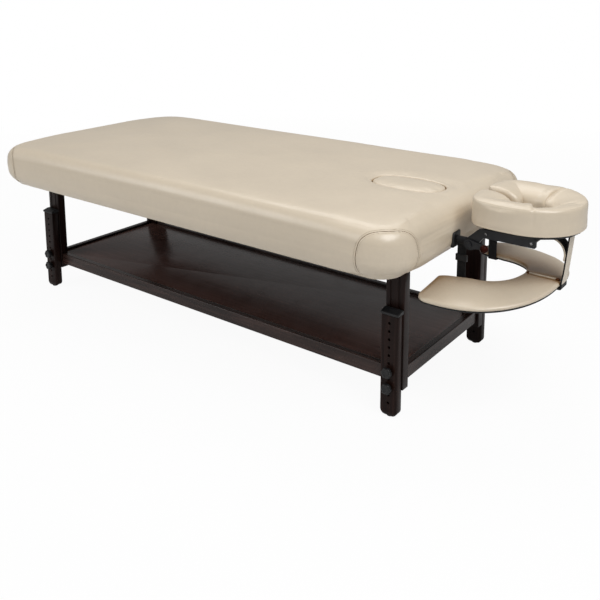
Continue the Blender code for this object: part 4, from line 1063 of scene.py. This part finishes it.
def armrest_stations():
    """Inner and outer edge points from the end of an arm round to the centre line, on the +Y side."""
    stations = []
    run = ARMREST_BEND - ARMREST_BACK
    for share in np.concatenate([np.linspace(0, 0.3, 12), np.linspace(0.3, 1.0, 12)[1:-1]]):
        from_tip = run * share
        left = max(ARMREST_TIP_ROUND - from_tip, 0.0)
        rounding = ARMREST_TIP_ROUND - sqrt(ARMREST_TIP_ROUND ** 2 - left ** 2)
        x = ARMREST_BACK + from_tip
        flare = OPENING_FLARE * (OPENING_BEND - x) / (OPENING_BEND - ARMREST_BACK)
        stations.append((Vector((x, OPENING_HALF_WIDTH + flare + 0.4 * rounding, 0)),
                         Vector((x, ARMREST_HALF_WIDTH - rounding, 0))))
    power = 2 / ARMREST_SQUARENESS
    turns = [radians(angle) for angle in np.linspace(90, 2, 64)] + [radians(1.2), radians(0.5), 0.0]
    for angle in turns:
        across, along = sin(angle), max(cos(angle), 0.0)
        inner = Vector((OPENING_BEND + (OPENING_REACH - OPENING_BEND) * along,
                        OPENING_HALF_WIDTH * across, 0))
        outer = Vector((ARMREST_BEND + (ARMREST_REACH - ARMREST_BEND) * along ** power,
                        ARMREST_HALF_WIDTH * across ** power, 0))
        stations.append((inner, outer))
    meeting = Vector((0, ARMREST_MEETING, 0))
    return [(inner + meeting, outer + meeting) for inner, outer in stations]


def armrest_loft(side, low, high, inset, roll):
    """A board between the armrest's edges, inset from them, with rolled edges."""
    rings = []
    stations = armrest_stations()
    middle_z, half_z = (low + high) / 2, (high - low) / 2
    for inner, outer in stations:
        across = (outer - inner).normalized()
        tip = min((inner - stations[0][0]).length, (outer - stations[0][1]).length)
        seam = min(inner.y, outer.y)
        size = end_round(tip, roll * 1.2) * (0.80 + 0.20 * min(seam / 0.008, 1.0) ** 0.5)
        start, end = inner + across * inset, outer - across * inset
        ring = []
        for edge, inward, turn, shares in ((end, -across, 1.0, (0.75, 0.5, 0.25)),
                                           (start, across, -1.0, (0.33, 0.67))):
            for angle in np.linspace(-turn * pi / 2, turn * pi / 2, 9):
                ring.append((edge + inward * (roll * (1 - max(cos(angle), 0))), sin(angle)))
            ring += [(start.lerp(end, share), turn) for share in shares]
        rings.append([Vector((HEAD_X + place.x, side * place.y,
                              middle_z + half_z * size * up - armrest_fall(place.y))) for place, up in ring])
    return lofted(rings)


def make_armrests():
    board_top = ARMREST_LOW + ARMREST_BOARD
    for side_name, side in SIDES.items():
        node = f"armrest_{side_name}"
        cover = armrest_loft(side, board_top, ARMREST_HIGH - ARMREST_SWELL, 0.0008, 0.0085)
        pad = add_object(f"{node}_pad", cover, "armrest_leather")
        held_below = board_top + 0.003
        swell(pad, swelling(pad, ARMREST_VOXEL, ARMREST_SWELL,
                            lambda point: point.z + armrest_fall(point.y) < held_below))
        under = armrest_loft(side, ARMREST_LOW, board_top + 0.0008, 0.0038, 0.0022)
        board = add_object(f"{node}_board", under, "black_plastic")
        seat(pad, node)
        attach(board, body_of(node))


def tube(start, end, radius):
    """A straight rod with rounded ends."""
    sides, rounding = 20, 0.3
    start, end = Vector(start), Vector(end)
    axis = (end - start).normalized()
    side = axis.orthogonal().normalized()
    up = axis.cross(side)
    depth = radius * rounding
    length = (end - start).length
    near_end = [(0.0, radius - depth), (depth * 0.3, radius - depth * 0.3), (depth, radius)]
    rows = near_end + [(length - along, size) for along, size in near_end[::-1]]
    angles = [2 * pi * index / sides for index in range(sides)]
    return lofted([[start + axis * along + (side * cos(angle) + up * sin(angle)) * size for angle in angles]
                   for along, size in rows])


def make_hinge():
    low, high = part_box("armrest_hinge")
    middle_z = ARMREST_HIGH - HINGE_DEPTH
    rod = tube((low.x + 0.004, 0, middle_z), (high.x - 0.004, 0, middle_z), HINGE_ROD)
    piping = add_object("hinge_piping", rod, "cream_leather")
    seat(piping, "armrest_hinge")
    for name, start, length in (("inner", low.x - 0.002, 0.006), ("outer", high.x - 0.008, 0.012)):
        band = tube((start, 0, middle_z), (start + length, 0, middle_z), HINGE_CLIP)
        clip = add_object(f"hinge_clip_{name}", band, "bronze")
        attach(clip, body_of("armrest_hinge"))


def ribbon(name, route, across, width, thickness, looks, first_until=None):
    """A flat strap along a route: the first look on the face to its normal, the last one elsewhere."""
    across = Vector(across)
    rows, edge = 9, 0.55
    face = np.linspace(-0.985, 0.985, rows)
    section = [(share, 1.0) for share in face] + [(1.0, edge), (1.0, -edge)]
    section += [(share, -1.0) for share in face[::-1]] + [(-1.0, -edge), (-1.0, edge)]
    rings = []
    for index, point in enumerate(route):
        along = (route[min(index + 1, len(route) - 1)] - route[max(index - 1, 0)]).normalized()
        normal = along.cross(across).normalized()
        rings.append([point + across * share * width / 2 + normal * lift * thickness / 2
                      for share, lift in section])
    columns = len(section)
    mesh = skin(rings)
    made = add_object(name, mesh, looks)
    reach = len(mesh.polygons) - 2 if first_until is None else first_until * columns
    for index, polygon in enumerate(mesh.polygons):
        polygon.material_index = 0 if index < reach and index % columns < rows - 1 else len(looks) - 1
    tidy(mesh, 50, weld=False)
    return made


def rounded_route(corners, radius):
    """Points along straight runs between corners, with each corner rounded."""
    corners = [Vector(corner) for corner in corners]
    points = [corners[0]]
    for before, corner, after in zip(corners, corners[1:], corners[2:]):
        back, ahead = before - corner, after - corner
        reach = min(radius, back.length * 0.49, ahead.length * 0.49)
        start, end = corner + back.normalized() * reach, corner + ahead.normalized() * reach
        for share in np.linspace(0, 1, 7):
            points.append(start.lerp(corner, share).lerp(corner.lerp(end, share), share))
    points.append(corners[-1])
    route = [points[0]]
    for point in points[1:]:
        gap = (point - route[-1]).length
        if gap < WELD:
            continue
        count = max(1, round(gap / STRAP_STEP))
        begin = route[-1]
        route.extend(begin.lerp(point, number / count) for number in range(1, count + 1))
    return route


def make_side_straps():
    """Each strap runs from a tab under the armrest up to the rod, round it and down again."""
    apart, round_rod = SIDE_STRAP_APART, np.radians(np.arange(-150, 151, 10))
    for side_name, side in SIDES.items():
        node = f"side_strap_{side_name}"
        low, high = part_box(node)
        rod_low, rod_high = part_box(f"cradle_base_{side_name}")
        rod_y = abs(rod_low.y + rod_high.y) / 2
        rod_z = (rod_low.z + rod_high.z) / 2
        neck = rod_z - SIDE_STRAP_NECK
        middle_x = (low.x + high.x) / 2

        def tab_z(out):
            return ARMREST_LOW - SEAT_GAP - SIDE_STRAP - armrest_fall(rod_y + out)

        corners = [(SIDE_STRAP_TAB, tab_z(SIDE_STRAP_TAB)), (-apart, tab_z(0)), (-apart, neck)]
        corners += [(SIDE_STRAP_LOOP * sin(angle), rod_z + SIDE_STRAP_LOOP * cos(angle))
                    for angle in round_rod]
        corners += [(apart, neck), (apart, tab_z(0) + 0.006)]
        route = rounded_route([(middle_x, side * (rod_y + out), z) for out, z in corners], SIDE_STRAP_BEND)
        strap = ribbon(f"{node}_web", route, (1, 0, 0), high.x - low.x, SIDE_STRAP, ["black_webbing"])
        seat(strap, node)


def make_front_straps():
    """The outer strap from the platform round the armrest's front edge, the inner one to the cross bar."""
    half = OUTER_STRAP / 2 + SEAT_GAP
    under_platform = FACE_LOW.z - SEAT_GAP - PLATFORM - half
    under_armrest = ARMREST_LOW - half
    edge_x = HEAD_X + ARMREST_REACH + half
    top_x = edge_x + FRONT_STRAP_LEAN
    lean_x, lean_z = edge_x + STRAP_FOLD, ARMREST_HIGH + FRONT_STRAP_LIFT
    corners = [(top_x - FRONT_STRAP_TAB, under_platform), (top_x, under_platform), (lean_x, lean_z),
               (edge_x, ARMREST_HIGH), (edge_x, under_armrest), (edge_x - FRONT_STRAP_TAB, under_armrest)]
    route = rounded_route([(x, 0, z) for x, z in corners], STRAP_FOLD)
    cream_rows = sum(point.z > ARMREST_HIGH - 0.004 for point in route)
    outer = ribbon("front_strap_outer_web", route, (0, 1, 0), FRONT_STRAP_WIDTH, OUTER_STRAP,
                   ["cream_leather", "black_webbing"], cream_rows)

    bar_low, bar_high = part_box("cradle_cross_bar")
    bar_x, under_bar = (bar_low.x + bar_high.x) / 2, bar_low.z - SEAT_GAP - INNER_STRAP / 2
    run_low, run_top = Vector((lean_x, 0, lean_z)), Vector((top_x, 0, under_platform - STRAP_FOLD))
    behind = Vector((-(OUTER_STRAP + INNER_STRAP) / 2, 0, 0))
    join_top = run_low.lerp(run_top, BRANCH_TOP) + behind
    join_low = run_low.lerp(run_top, BRANCH_LOW) + behind
    start = Vector((bar_x + STRAP_FOLD, 0, under_bar))
    corner = Vector((join_top.x - STRAP_FOLD, 0, under_bar))
    bend = [start.lerp(corner, share).lerp(corner.lerp(join_top, share), share)
            for share in np.linspace(0, 1, 12)]
    route = rounded_route([(bar_x - STRAP_FOLD, 0, under_bar), *bend, join_low], STRAP_FOLD)
    inner = ribbon("front_strap_inner_web", route, (0, 1, 0), FRONT_STRAP_WIDTH, INNER_STRAP,
                   ["black_webbing", "cream_leather"])
    for strap, node in ((outer, "front_strap_outer"), (inner, "front_strap_inner")):
        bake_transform(strap)
        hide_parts(node)


def make_dust_cover():
    """Black cloth stapled under the frame: it sags a little, and the posts pass through it."""
    low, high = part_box("dust_cover")
    pitch, sag, thickness, gap, margin = 0.03, 0.005, 0.0006, 0.0008, 0.005
    half_x, half_y = (high.x - low.x) / 2, (high.y - low.y) / 2
    middle_x = (low.x + high.x) / 2
    xs, ys = spaced(low.x, high.x, pitch), spaced(low.y, high.y, pitch)
    radius = TOP_CORNER - SIDE_FOAM
    outer = []
    for side_x, side_y, start in QUARTERS:
        centre = Vector((middle_x + side_x * (half_x - radius), side_y * (half_y - radius)))
        outer += [centre + radius * Vector((cos(angle), sin(angle)))
                  for angle in np.linspace(radians(start), radians(start + 90), 9)]
        lengthwise = side_x == side_y
        run = 2 * (half_x if lengthwise else half_y) - 2 * radius
        onward = Vector((-side_x, 0) if lengthwise else (0, -side_y))
        outer += [outer[-1] + onward * step for step in spaced(0, run, pitch)[1:-1]]
    outline = np.array(outer)
    holes = [hole_loop(0, 48)]
    for leg in LEGS:
        post_low, post_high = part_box(f"leg_post_{leg}")
        left, right = post_low.x - gap, post_high.x + gap
        front, back = post_low.y - gap, post_high.y + gap
        holes.append([(left, front), (right, front), (right, back), (left, back)])
    extra = []
    for x in xs[1:-1]:
        for y in ys[1:-1]:
            at_post = any(first[0] - margin < x < last[0] + margin
                          and first[1] - margin < y < last[1] + margin for first, _, last, _ in holes[1:])
            if not at_post and hole_distance(x, y) > 2 * margin and inside_loop(Vector((x, y)), outline):
                extra.append((x, y))
    places, faces = plate_faces(outer, holes, extra)
    points = []
    for x, y in places:
        slack = max(1 - ((x - middle_x) / half_x) ** 2, 0) * max(1 - (y / half_y) ** 2, 0)
        ripple = 0.0006 * noise.noise((x * 14, y * 14, 0)) * min(slack * 4, 1)
        points.append((x, y, high.z - thickness - sag * slack + ripple))
    form = bmesh.new()
    form.from_mesh(mesh_of(points, faces))
    bmesh.ops.solidify(form, geom=form.faces[:], thickness=thickness)
    mesh = bpy.data.meshes.new("dust_cover")
    form.to_mesh(mesh)
    form.free()
    cover = add_object("dust_cloth", tidy(mesh, 50), "black_cloth")
    seat(cover, "dust_cover")


# Rigid pieces

def applied(mesh, kind, **settings):
    """The mesh after one modifier."""
    holder = bpy.data.objects.new("holder", mesh)
    bpy.context.scene.collection.objects.link(holder)
    modifier = holder.modifiers.new("step", kind)
    for setting, value in settings.items():
        setattr(modifier, setting, value)
    graph = bpy.context.evaluated_depsgraph_get()
    made = bpy.data.meshes.new_from_object(holder.evaluated_get(graph))
    bpy.data.objects.remove(holder, do_unlink=True)
    return made


def softened(mesh, width, segments=3, angle=CREASE_ANGLE):
    """Edges sharper than `angle` rounded, with the flat faces kept flat."""
    mesh.shade_smooth()
    return applied(mesh, "BEVEL", width=width, segments=segments, limit_method="ANGLE",
                   angle_limit=radians(angle), harden_normals=True, use_clamp_overlap=True)


def combined(mesh, tool, operation):
    """Two closed forms joined, or one cut by the other."""
    holder = bpy.data.objects.new("tool", tool)
    bpy.context.scene.collection.objects.link(holder)
    made = applied(mesh, "BOOLEAN", operation=operation, solver="EXACT", object=holder)
    bpy.data.objects.remove(holder, do_unlink=True)
    return tidy(made)


def box_mesh(low, high):
    corners = [(x, y, z) for x in (low[0], high[0]) for y in (low[1], high[1]) for z in (low[2], high[2])]
    faces = [(0, 1, 3, 2), (4, 6, 7, 5), (0, 4, 5, 1), (2, 3, 7, 6), (0, 2, 6, 4), (1, 5, 7, 3)]
    return tidy(mesh_of(corners, faces))


def cad_mesh(node):
    """A copy of a node's mesh with its flat faces whole again."""
    form = bmesh.new()
    form.from_mesh(NODES[node].data)
    bmesh.ops.remove_doubles(form, verts=form.verts, dist=WELD)
    bmesh.ops.dissolve_limit(form, angle_limit=radians(0.5), verts=form.verts, edges=form.edges)
    mesh = bpy.data.meshes.new(node)
    form.to_mesh(mesh)
    form.free()
    return mesh


def upright_plate(outline, y_low, y_high):
    """A plate standing across Y, from an outline of (x, z) points."""
    return lofted([[Vector((x, y, z)) for x, z in outline] for y in (y_low, y_high)])


def circle(centre, radius, sides):
    angles = [2 * pi * index / sides for index in range(sides)]
    return [(centre[0] + radius * cos(angle), centre[1] + radius * sin(angle)) for angle in angles]


def hull(*discs):
    """Outline round circles, each given by its middle and radius."""
    points = [point for centre, radius in discs for point in circle(centre, radius, 40)]
    return [points[index] for index in geometry.convex_hull_2d([Vector(point) for point in points])]


def drilled(mesh, centre, radius, sides, low, high):
    """The mesh with a round hole along Y, through and past the box from low to high."""
    bore = upright_plate(circle(centre, radius, sides), low.y - DRILL_PAST, high.y + DRILL_PAST)
    return combined(mesh, bore, "DIFFERENCE")


def fit(name, mesh, look, node, sharp=None):
    """A rigid piece in a node's place, with the mesh's own smooth and sharp edges."""
    if sharp:
        mesh.set_sharp_from_angle(angle=radians(sharp))
    seat(add_object(name, mesh, look, smooth=False), node)


def make_post(leg):
    node = f"leg_post_{leg}"
    low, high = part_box(node)
    side = SIDES[leg.split("_")[1]]
    middle_x, middle_y = (low.x + high.x) / 2, (low.y + high.y) / 2
    half_x, half_y = (high.x - low.x) / 2, (high.y - low.y) / 2
    outline = []
    for centre_x, centre_y, start in QUARTERS[2:] + QUARTERS[:2]:
        for angle in np.radians(np.linspace(start, start + 90, 5)):
            outline.append((centre_x * (half_x - EDGE_ROUND) + EDGE_ROUND * cos(angle),
                            centre_y * (half_y - EDGE_ROUND) + EDGE_ROUND * sin(angle)))
        if start == 0:
            for flute_x in (FLUTE_SPACING / 2, -FLUTE_SPACING / 2):
                for angle in np.radians(np.linspace(0, -180, 9)):
                    outline.append((flute_x + FLUTE_WIDTH / 2 * cos(angle),
                                    half_y + FLUTE_DEPTH * sin(angle)))
    rows = [(0.0016, low.z), (0.0005, low.z + 0.0005), (0.0, low.z + 0.0016), (0.0, high.z)]
    rings = []
    for inset, z in rows:
        shrink_x, shrink_y = 1 - inset / half_x, 1 - inset / half_y
        rings.append([Vector((middle_x + x * shrink_x, middle_y + side * y * shrink_y, z))
                      for x, y in outline])
    fit(f"post_{leg}", lofted(rings), "walnut_z", node, CREASE_ANGLE)


def make_extension(leg):
    node = f"leg_extension_{leg}"
    low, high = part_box(node)
    middle_x = (low.x + high.x) / 2
    outline = [(low.x, high.z)]
    for centre_x, start in ((low.x + EXTENSION_ROUND, 180), (high.x - EXTENSION_ROUND, 270)):
        for angle in np.radians(np.linspace(start, start + 90, 9)):
            outline.append((centre_x + EXTENSION_ROUND * cos(angle),
                            low.z + EXTENSION_ROUND * (1 + sin(angle))))
    outline.append((high.x, high.z))
    mesh = tidy(softened(upright_plate(outline, low.y, high.y), 0.003))
    for number in range(BOLT_HOLES):
        mesh = drilled(mesh, (middle_x, FIRST_HOLE + number * BOLT_PITCH), BOLT_HOLE / 2, 24, low, high)
    fit(f"extension_{leg}", mesh, "walnut_z", node, CREASE_ANGLE)


def make_cap(leg):
    """Moulded cap over an extension's top, sloping from the post to the outer edge."""
    node = f"extension_cap_{leg}"
    low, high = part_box(node)
    side = SIDES[leg.split("_")[1]]
    inner_y, outer_y = (low.y, high.y) if side > 0 else (high.y, low.y)
    drop = (high.z - low.z) * 0.45
    profile = [(inner_y, low.z), (inner_y, high.z), (inner_y + (outer_y - inner_y) * 0.35, high.z),
               (outer_y, high.z - drop), (outer_y, low.z)]
    mesh = lofted([[Vector((x, y, z)) for y, z in profile] for x in (low.x, high.x)])
    fit(f"cap_{leg}", softened(mesh, 0.0028, 3, 20), "black_plastic", node)


def lobed(rows, lobes, depth, sides=96):
    """Rings about +Z: height, radius and how deep the flutes are there."""
    rings = []
    for height, radius, share in rows:
        ring = []
        for index in range(sides):
            angle = 2 * pi * index / sides
            flute = (0.5 - 0.5 * cos(lobes * angle)) ** 1.6
            size = radius - depth * share * flute
            ring.append(Vector((size * cos(angle), size * sin(angle), height)))
        rings.append(ring)
    return lofted(rings)


def turned(rows, sides):
    """Plain rings about +Z: height and radius."""
    return lobed([(height, radius, 0) for height, radius in rows], 1, 0.0, sides)


def faced_out(mesh, low, high, seat_y, side):
    """A form about +Z turned outwards along Y, on the middle of a box, with its origin at seat_y."""
    place = Matrix.Translation(((low.x + high.x) / 2, seat_y, (low.z + high.z) / 2))
    mesh.transform(place @ Matrix.Rotation(radians(-90 * side), 4, "X"))
    return mesh


def make_knobs(leg):
    side = SIDES[leg.split("_")[1]]
    rows = [(-0.0520, 0.0040, 0), (-0.0005, 0.0040, 0), (0.0, 0.0104, 0), (0.0006, 0.0110, 0),
            (0.0036, 0.0110, 0), (0.0042, 0.0118, 0.2), (0.0052, 0.0152, 0.8), (0.0066, 0.0166, 1),
            (0.0080, 0.0170, 1), (0.0140, 0.0170, 1), (0.0160, 0.0164, 1), (0.0173, 0.0150, 1),
            (0.0179, 0.0132, 0.8), (0.0180, 0.0110, 0.4), (0.0178, 0.0085, 0), (0.0172, 0.0080, 0),
            (0.0168, 0.0074, 0), (0.0168, 0.0012, 0)]
    for level in ("lower", "upper"):
        node = f"leg_knob_{leg}_{level}"
        low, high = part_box(node)
        seat_y = high.y - KNOB_DEPTH if side > 0 else low.y + KNOB_DEPTH
        mesh = faced_out(lobed(rows, KNOB_LOBES, KNOB_FLUTE), low, high, seat_y, side)
        fit(f"knob_{leg}_{level}", mesh, "black_plastic", node, 48)


def make_foot(leg):
    node = f"foot_pad_{leg}"
    low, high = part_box(node)
    radius = (high.x - low.x) / 2
    rows = [(0.0, radius - 0.0030), (0.0004, radius - 0.0016), (0.0015, radius), (0.0036, radius),
            (high.z - low.z, radius - 0.0014)]
    mesh = turned(rows, 48)
    mesh.transform(Matrix.Translation(((low.x + high.x) / 2, (low.y + high.y) / 2, low.z)))
    fit(f"foot_{leg}", mesh, "rubber", node, 40)


def make_shelf():
    for name in (*SIDES, "head", "foot"):
        node = f"shelf_rail_{name}"
        look = "walnut_x" if name in SIDES else "walnut_y"
        fit(f"rail_{name}", softened(box_mesh(*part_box(node)), 0.0028), look, node)
    fit("panel_board", softened(cad_mesh("shelf_panel"), 0.001, 2), "walnut_panel", "shelf_panel")


def make_screw(node):
    """Button head with a socket."""
    low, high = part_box(node)
    side = 1 if low.y + high.y > 0 else -1
    length, depth, radius = high.y - low.y, 0.0030, 0.0042
    rows = [(depth - length, 0.0025), (-0.0003, 0.0025), (0.0, radius - 0.0003), (0.0004, radius),
            (0.0012, radius), (0.0021, radius * 0.87), (0.0027, radius * 0.70), (depth, radius * 0.54),
            (depth - 0.0003, radius * 0.48), (0.0004, radius * 0.46)]
    seat_y = high.y - depth if side > 0 else low.y + depth
    fit(f"{node}_head", faced_out(turned(rows, 36), low, high, seat_y, side), "steel", node, 35)


def make_arms():
    for side_name in SIDES:
        node = f"cradle_arm_{side_name}"
        low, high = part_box(node)
        pivot = (PIVOT_X, PIVOT_Z)
        bar_z = PIVOT_Z + ARM_RISE
        knee = ((PIVOT_X + ARM_KNEE, bar_z), ARM_HEIGHT / 2)
        corner = ARM_HEIGHT / 2 - ARM_TIP_ROUND
        corners = [((high.x - ARM_TIP_ROUND, bar_z + up * corner), ARM_TIP_ROUND) for up in (-1, 1)]
        mesh = upright_plate(hull((pivot, ARM_HUB / 2), knee), low.y, high.y)
        bar = upright_plate(hull(knee, *corners), low.y, high.y)
        mesh = drilled(combined(mesh, bar, "UNION"), pivot, PIVOT_BORE, 32, low, high)
        for reach in (ROOT_SCREW, ARM_REACH):
            mesh = drilled(mesh, (PIVOT_X + reach, bar_z), SCREW_BORE, 20, low, high)
        fit(f"arm_{side_name}", softened(mesh, PLATE_ROUND, 2, PLATE_ANGLE), "black_metal", node)


def make_lever():
    low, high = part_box("lock_lever")
    pivot = (PIVOT_X, PIVOT_Z)
    end = (high.x - LEVER_END / 2, PIVOT_Z)
    mesh = upright_plate(hull((pivot, LEVER_HUB / 2), (end, LEVER_END / 2)), low.y, high.y)
    mesh = drilled(mesh, pivot, PIVOT_BORE, 32, low, high)
    fit("lever_plate", softened(mesh, PLATE_ROUND, 2, PLATE_ANGLE), "black_metal", "lock_lever")

    low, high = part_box("lever_knob")
    radius = (high.x - low.x) / 2
    rows = [(0.0, 0.0058), (0.0008, 0.0060)]
    for angle in np.radians(np.linspace(32, 168, 22)):
        rows.append((radius * (cos(radians(30)) - cos(angle)) + 0.0004, radius * sin(angle)))
    fit("lever_ball", faced_out(turned(rows, 48), low, high, high.y, -1), "red_wood", "lever_knob", 50)


def make_cradle_hardware():
    plain = {"cradle_axle": ("black_metal", 0.0006), "cradle_cross_bar": ("black_metal", 0.0006),
             "cradle_platform": ("black_plastic", 0.0015)}
    for side_name in SIDES:
        plain[f"cradle_socket_{side_name}"] = ("black_plastic", 0.0016)
        plain[f"cradle_base_{side_name}"] = ("black_metal", 0.0014)
        plain[f"strap_buckle_{side_name}"] = ("black_plastic", 0.0012)
    for node, (look, width) in plain.items():
        fit(f"{node}_piece", softened(cad_mesh(node), width, 3, PLATE_ANGLE), look, node)


make_top()
make_plug()
make_face_pad()
make_armrests()
make_hinge()
make_side_straps()
make_front_straps()
make_dust_cover()
for leg in LEGS:
    make_post(leg)
    make_extension(leg)
    make_cap(leg)
    make_knobs(leg)
    make_foot(leg)
make_shelf()
for side in SIDES:
    for place in ("root", "tip"):
        make_screw(f"arm_screw_{side}_{place}")
make_arms()
make_lever()
make_cradle_hardware()
for node in ("deck_panel", "top_frame"):
    NODES[node].data.materials.clear()
    NODES[node].data.materials.append(LOOKS["plywood"])


# Studio

def make_floor():
    """Pale floor that keeps the shadow near the table and runs out to white."""
    floor = Finish("studio_floor", Roughness=0.9, Specular_IOR_Level=0.0)
    floor.shader.inputs["Base Color"].default_value = (0.9, 0.9, 0.9, 1.0)
    tree = floor.tree
    seen = floor.node("LightPath")
    away = floor.node("VectorMath", {0: floor.place}, operation="LENGTH").outputs["Value"]
    washed = floor.spread(away, 0.945, 1.0, (1.4, 4.5))
    direct = floor.node("Math", {0: seen.outputs["Is Camera Ray"], 1: washed}, operation="MULTIPLY")
    other = floor.node("Math", {0: seen.outputs["Is Glossy Ray"], 1: MIRRORED}, operation="MULTIPLY")
    share = floor.node("Math", {0: direct.outputs[0], 1: other.outputs[0]}, operation="MAXIMUM")
    white = floor.node("Emission", {"Color": (1, 1, 1, 1), "Strength": 1.0})
    mixed = floor.node("MixShader", {0: share.outputs[0], 1: floor.shader.outputs[0], 2: white.outputs[0]})
    tree.links.new(mixed.outputs[0], tree.nodes["Material Output"].inputs["Surface"])
    corners = [(x * FLOOR_REACH, y * FLOOR_REACH, 0) for x, y in ((-1, -1), (1, -1), (1, 1), (-1, 1))]
    mesh = mesh_of(corners, [(0, 1, 2, 3)])
    mesh.materials.append(floor.made)
    made = bpy.data.objects.new("floor", mesh)
    bpy.context.scene.collection.objects.link(made)


def make_world():
    """White to the camera, a third as bright in reflections, and a little light from all round."""
    world = bpy.data.worlds.new("studio")
    world.use_nodes = True
    bpy.context.scene.world = world
    tree = world.node_tree
    seen = tree.nodes.new("ShaderNodeLightPath").outputs

    def joined(operation, first, second):
        made = tree.nodes.new("ShaderNodeMath")
        made.operation = operation
        for socket, value in zip(made.inputs, (first, second)):
            connect(tree, socket, value)
        return made.outputs[0]

    straight = joined("MAXIMUM", seen["Is Camera Ray"], seen["Is Transmission Ray"])
    mirrored = joined("MULTIPLY", seen["Is Glossy Ray"], MIRRORED)
    strength = joined("MAXIMUM", joined("MAXIMUM", straight, mirrored), AMBIENT)
    background = tree.nodes["Background"]
    background.inputs["Color"].default_value = (1, 1, 1, 1)
    tree.links.new(strength, background.inputs["Strength"])


def area_light(name, place, target, size, power):
    data = bpy.data.lights.new(name, "AREA")
    data.shape = "RECTANGLE"
    data.size, data.size_y = size
    data.energy = power
    made = bpy.data.objects.new(name, data)
    bpy.context.scene.collection.objects.link(made)
    made.location = place
    made.rotation_euler = (Vector(target) - Vector(place)).to_track_quat("-Z", "Y").to_euler()


def make_camera():
    data = bpy.data.cameras.new("camera")
    data.lens = LENS
    data.sensor_width = SENSOR
    data.shift_x, data.shift_y = SHIFT
    made = bpy.data.objects.new("camera", data)
    bpy.context.scene.collection.objects.link(made)
    made.location = CAMERA_PLACE
    made.rotation_euler = (radians(90 - CAMERA_DIP), 0, radians(CAMERA_TURN))
    bpy.context.scene.camera = made


make_floor()
make_world()
for name, lamp in LAMPS.items():
    area_light(name, *lamp)
make_camera()
bpy.context.scene.view_settings.view_transform = "Standard"
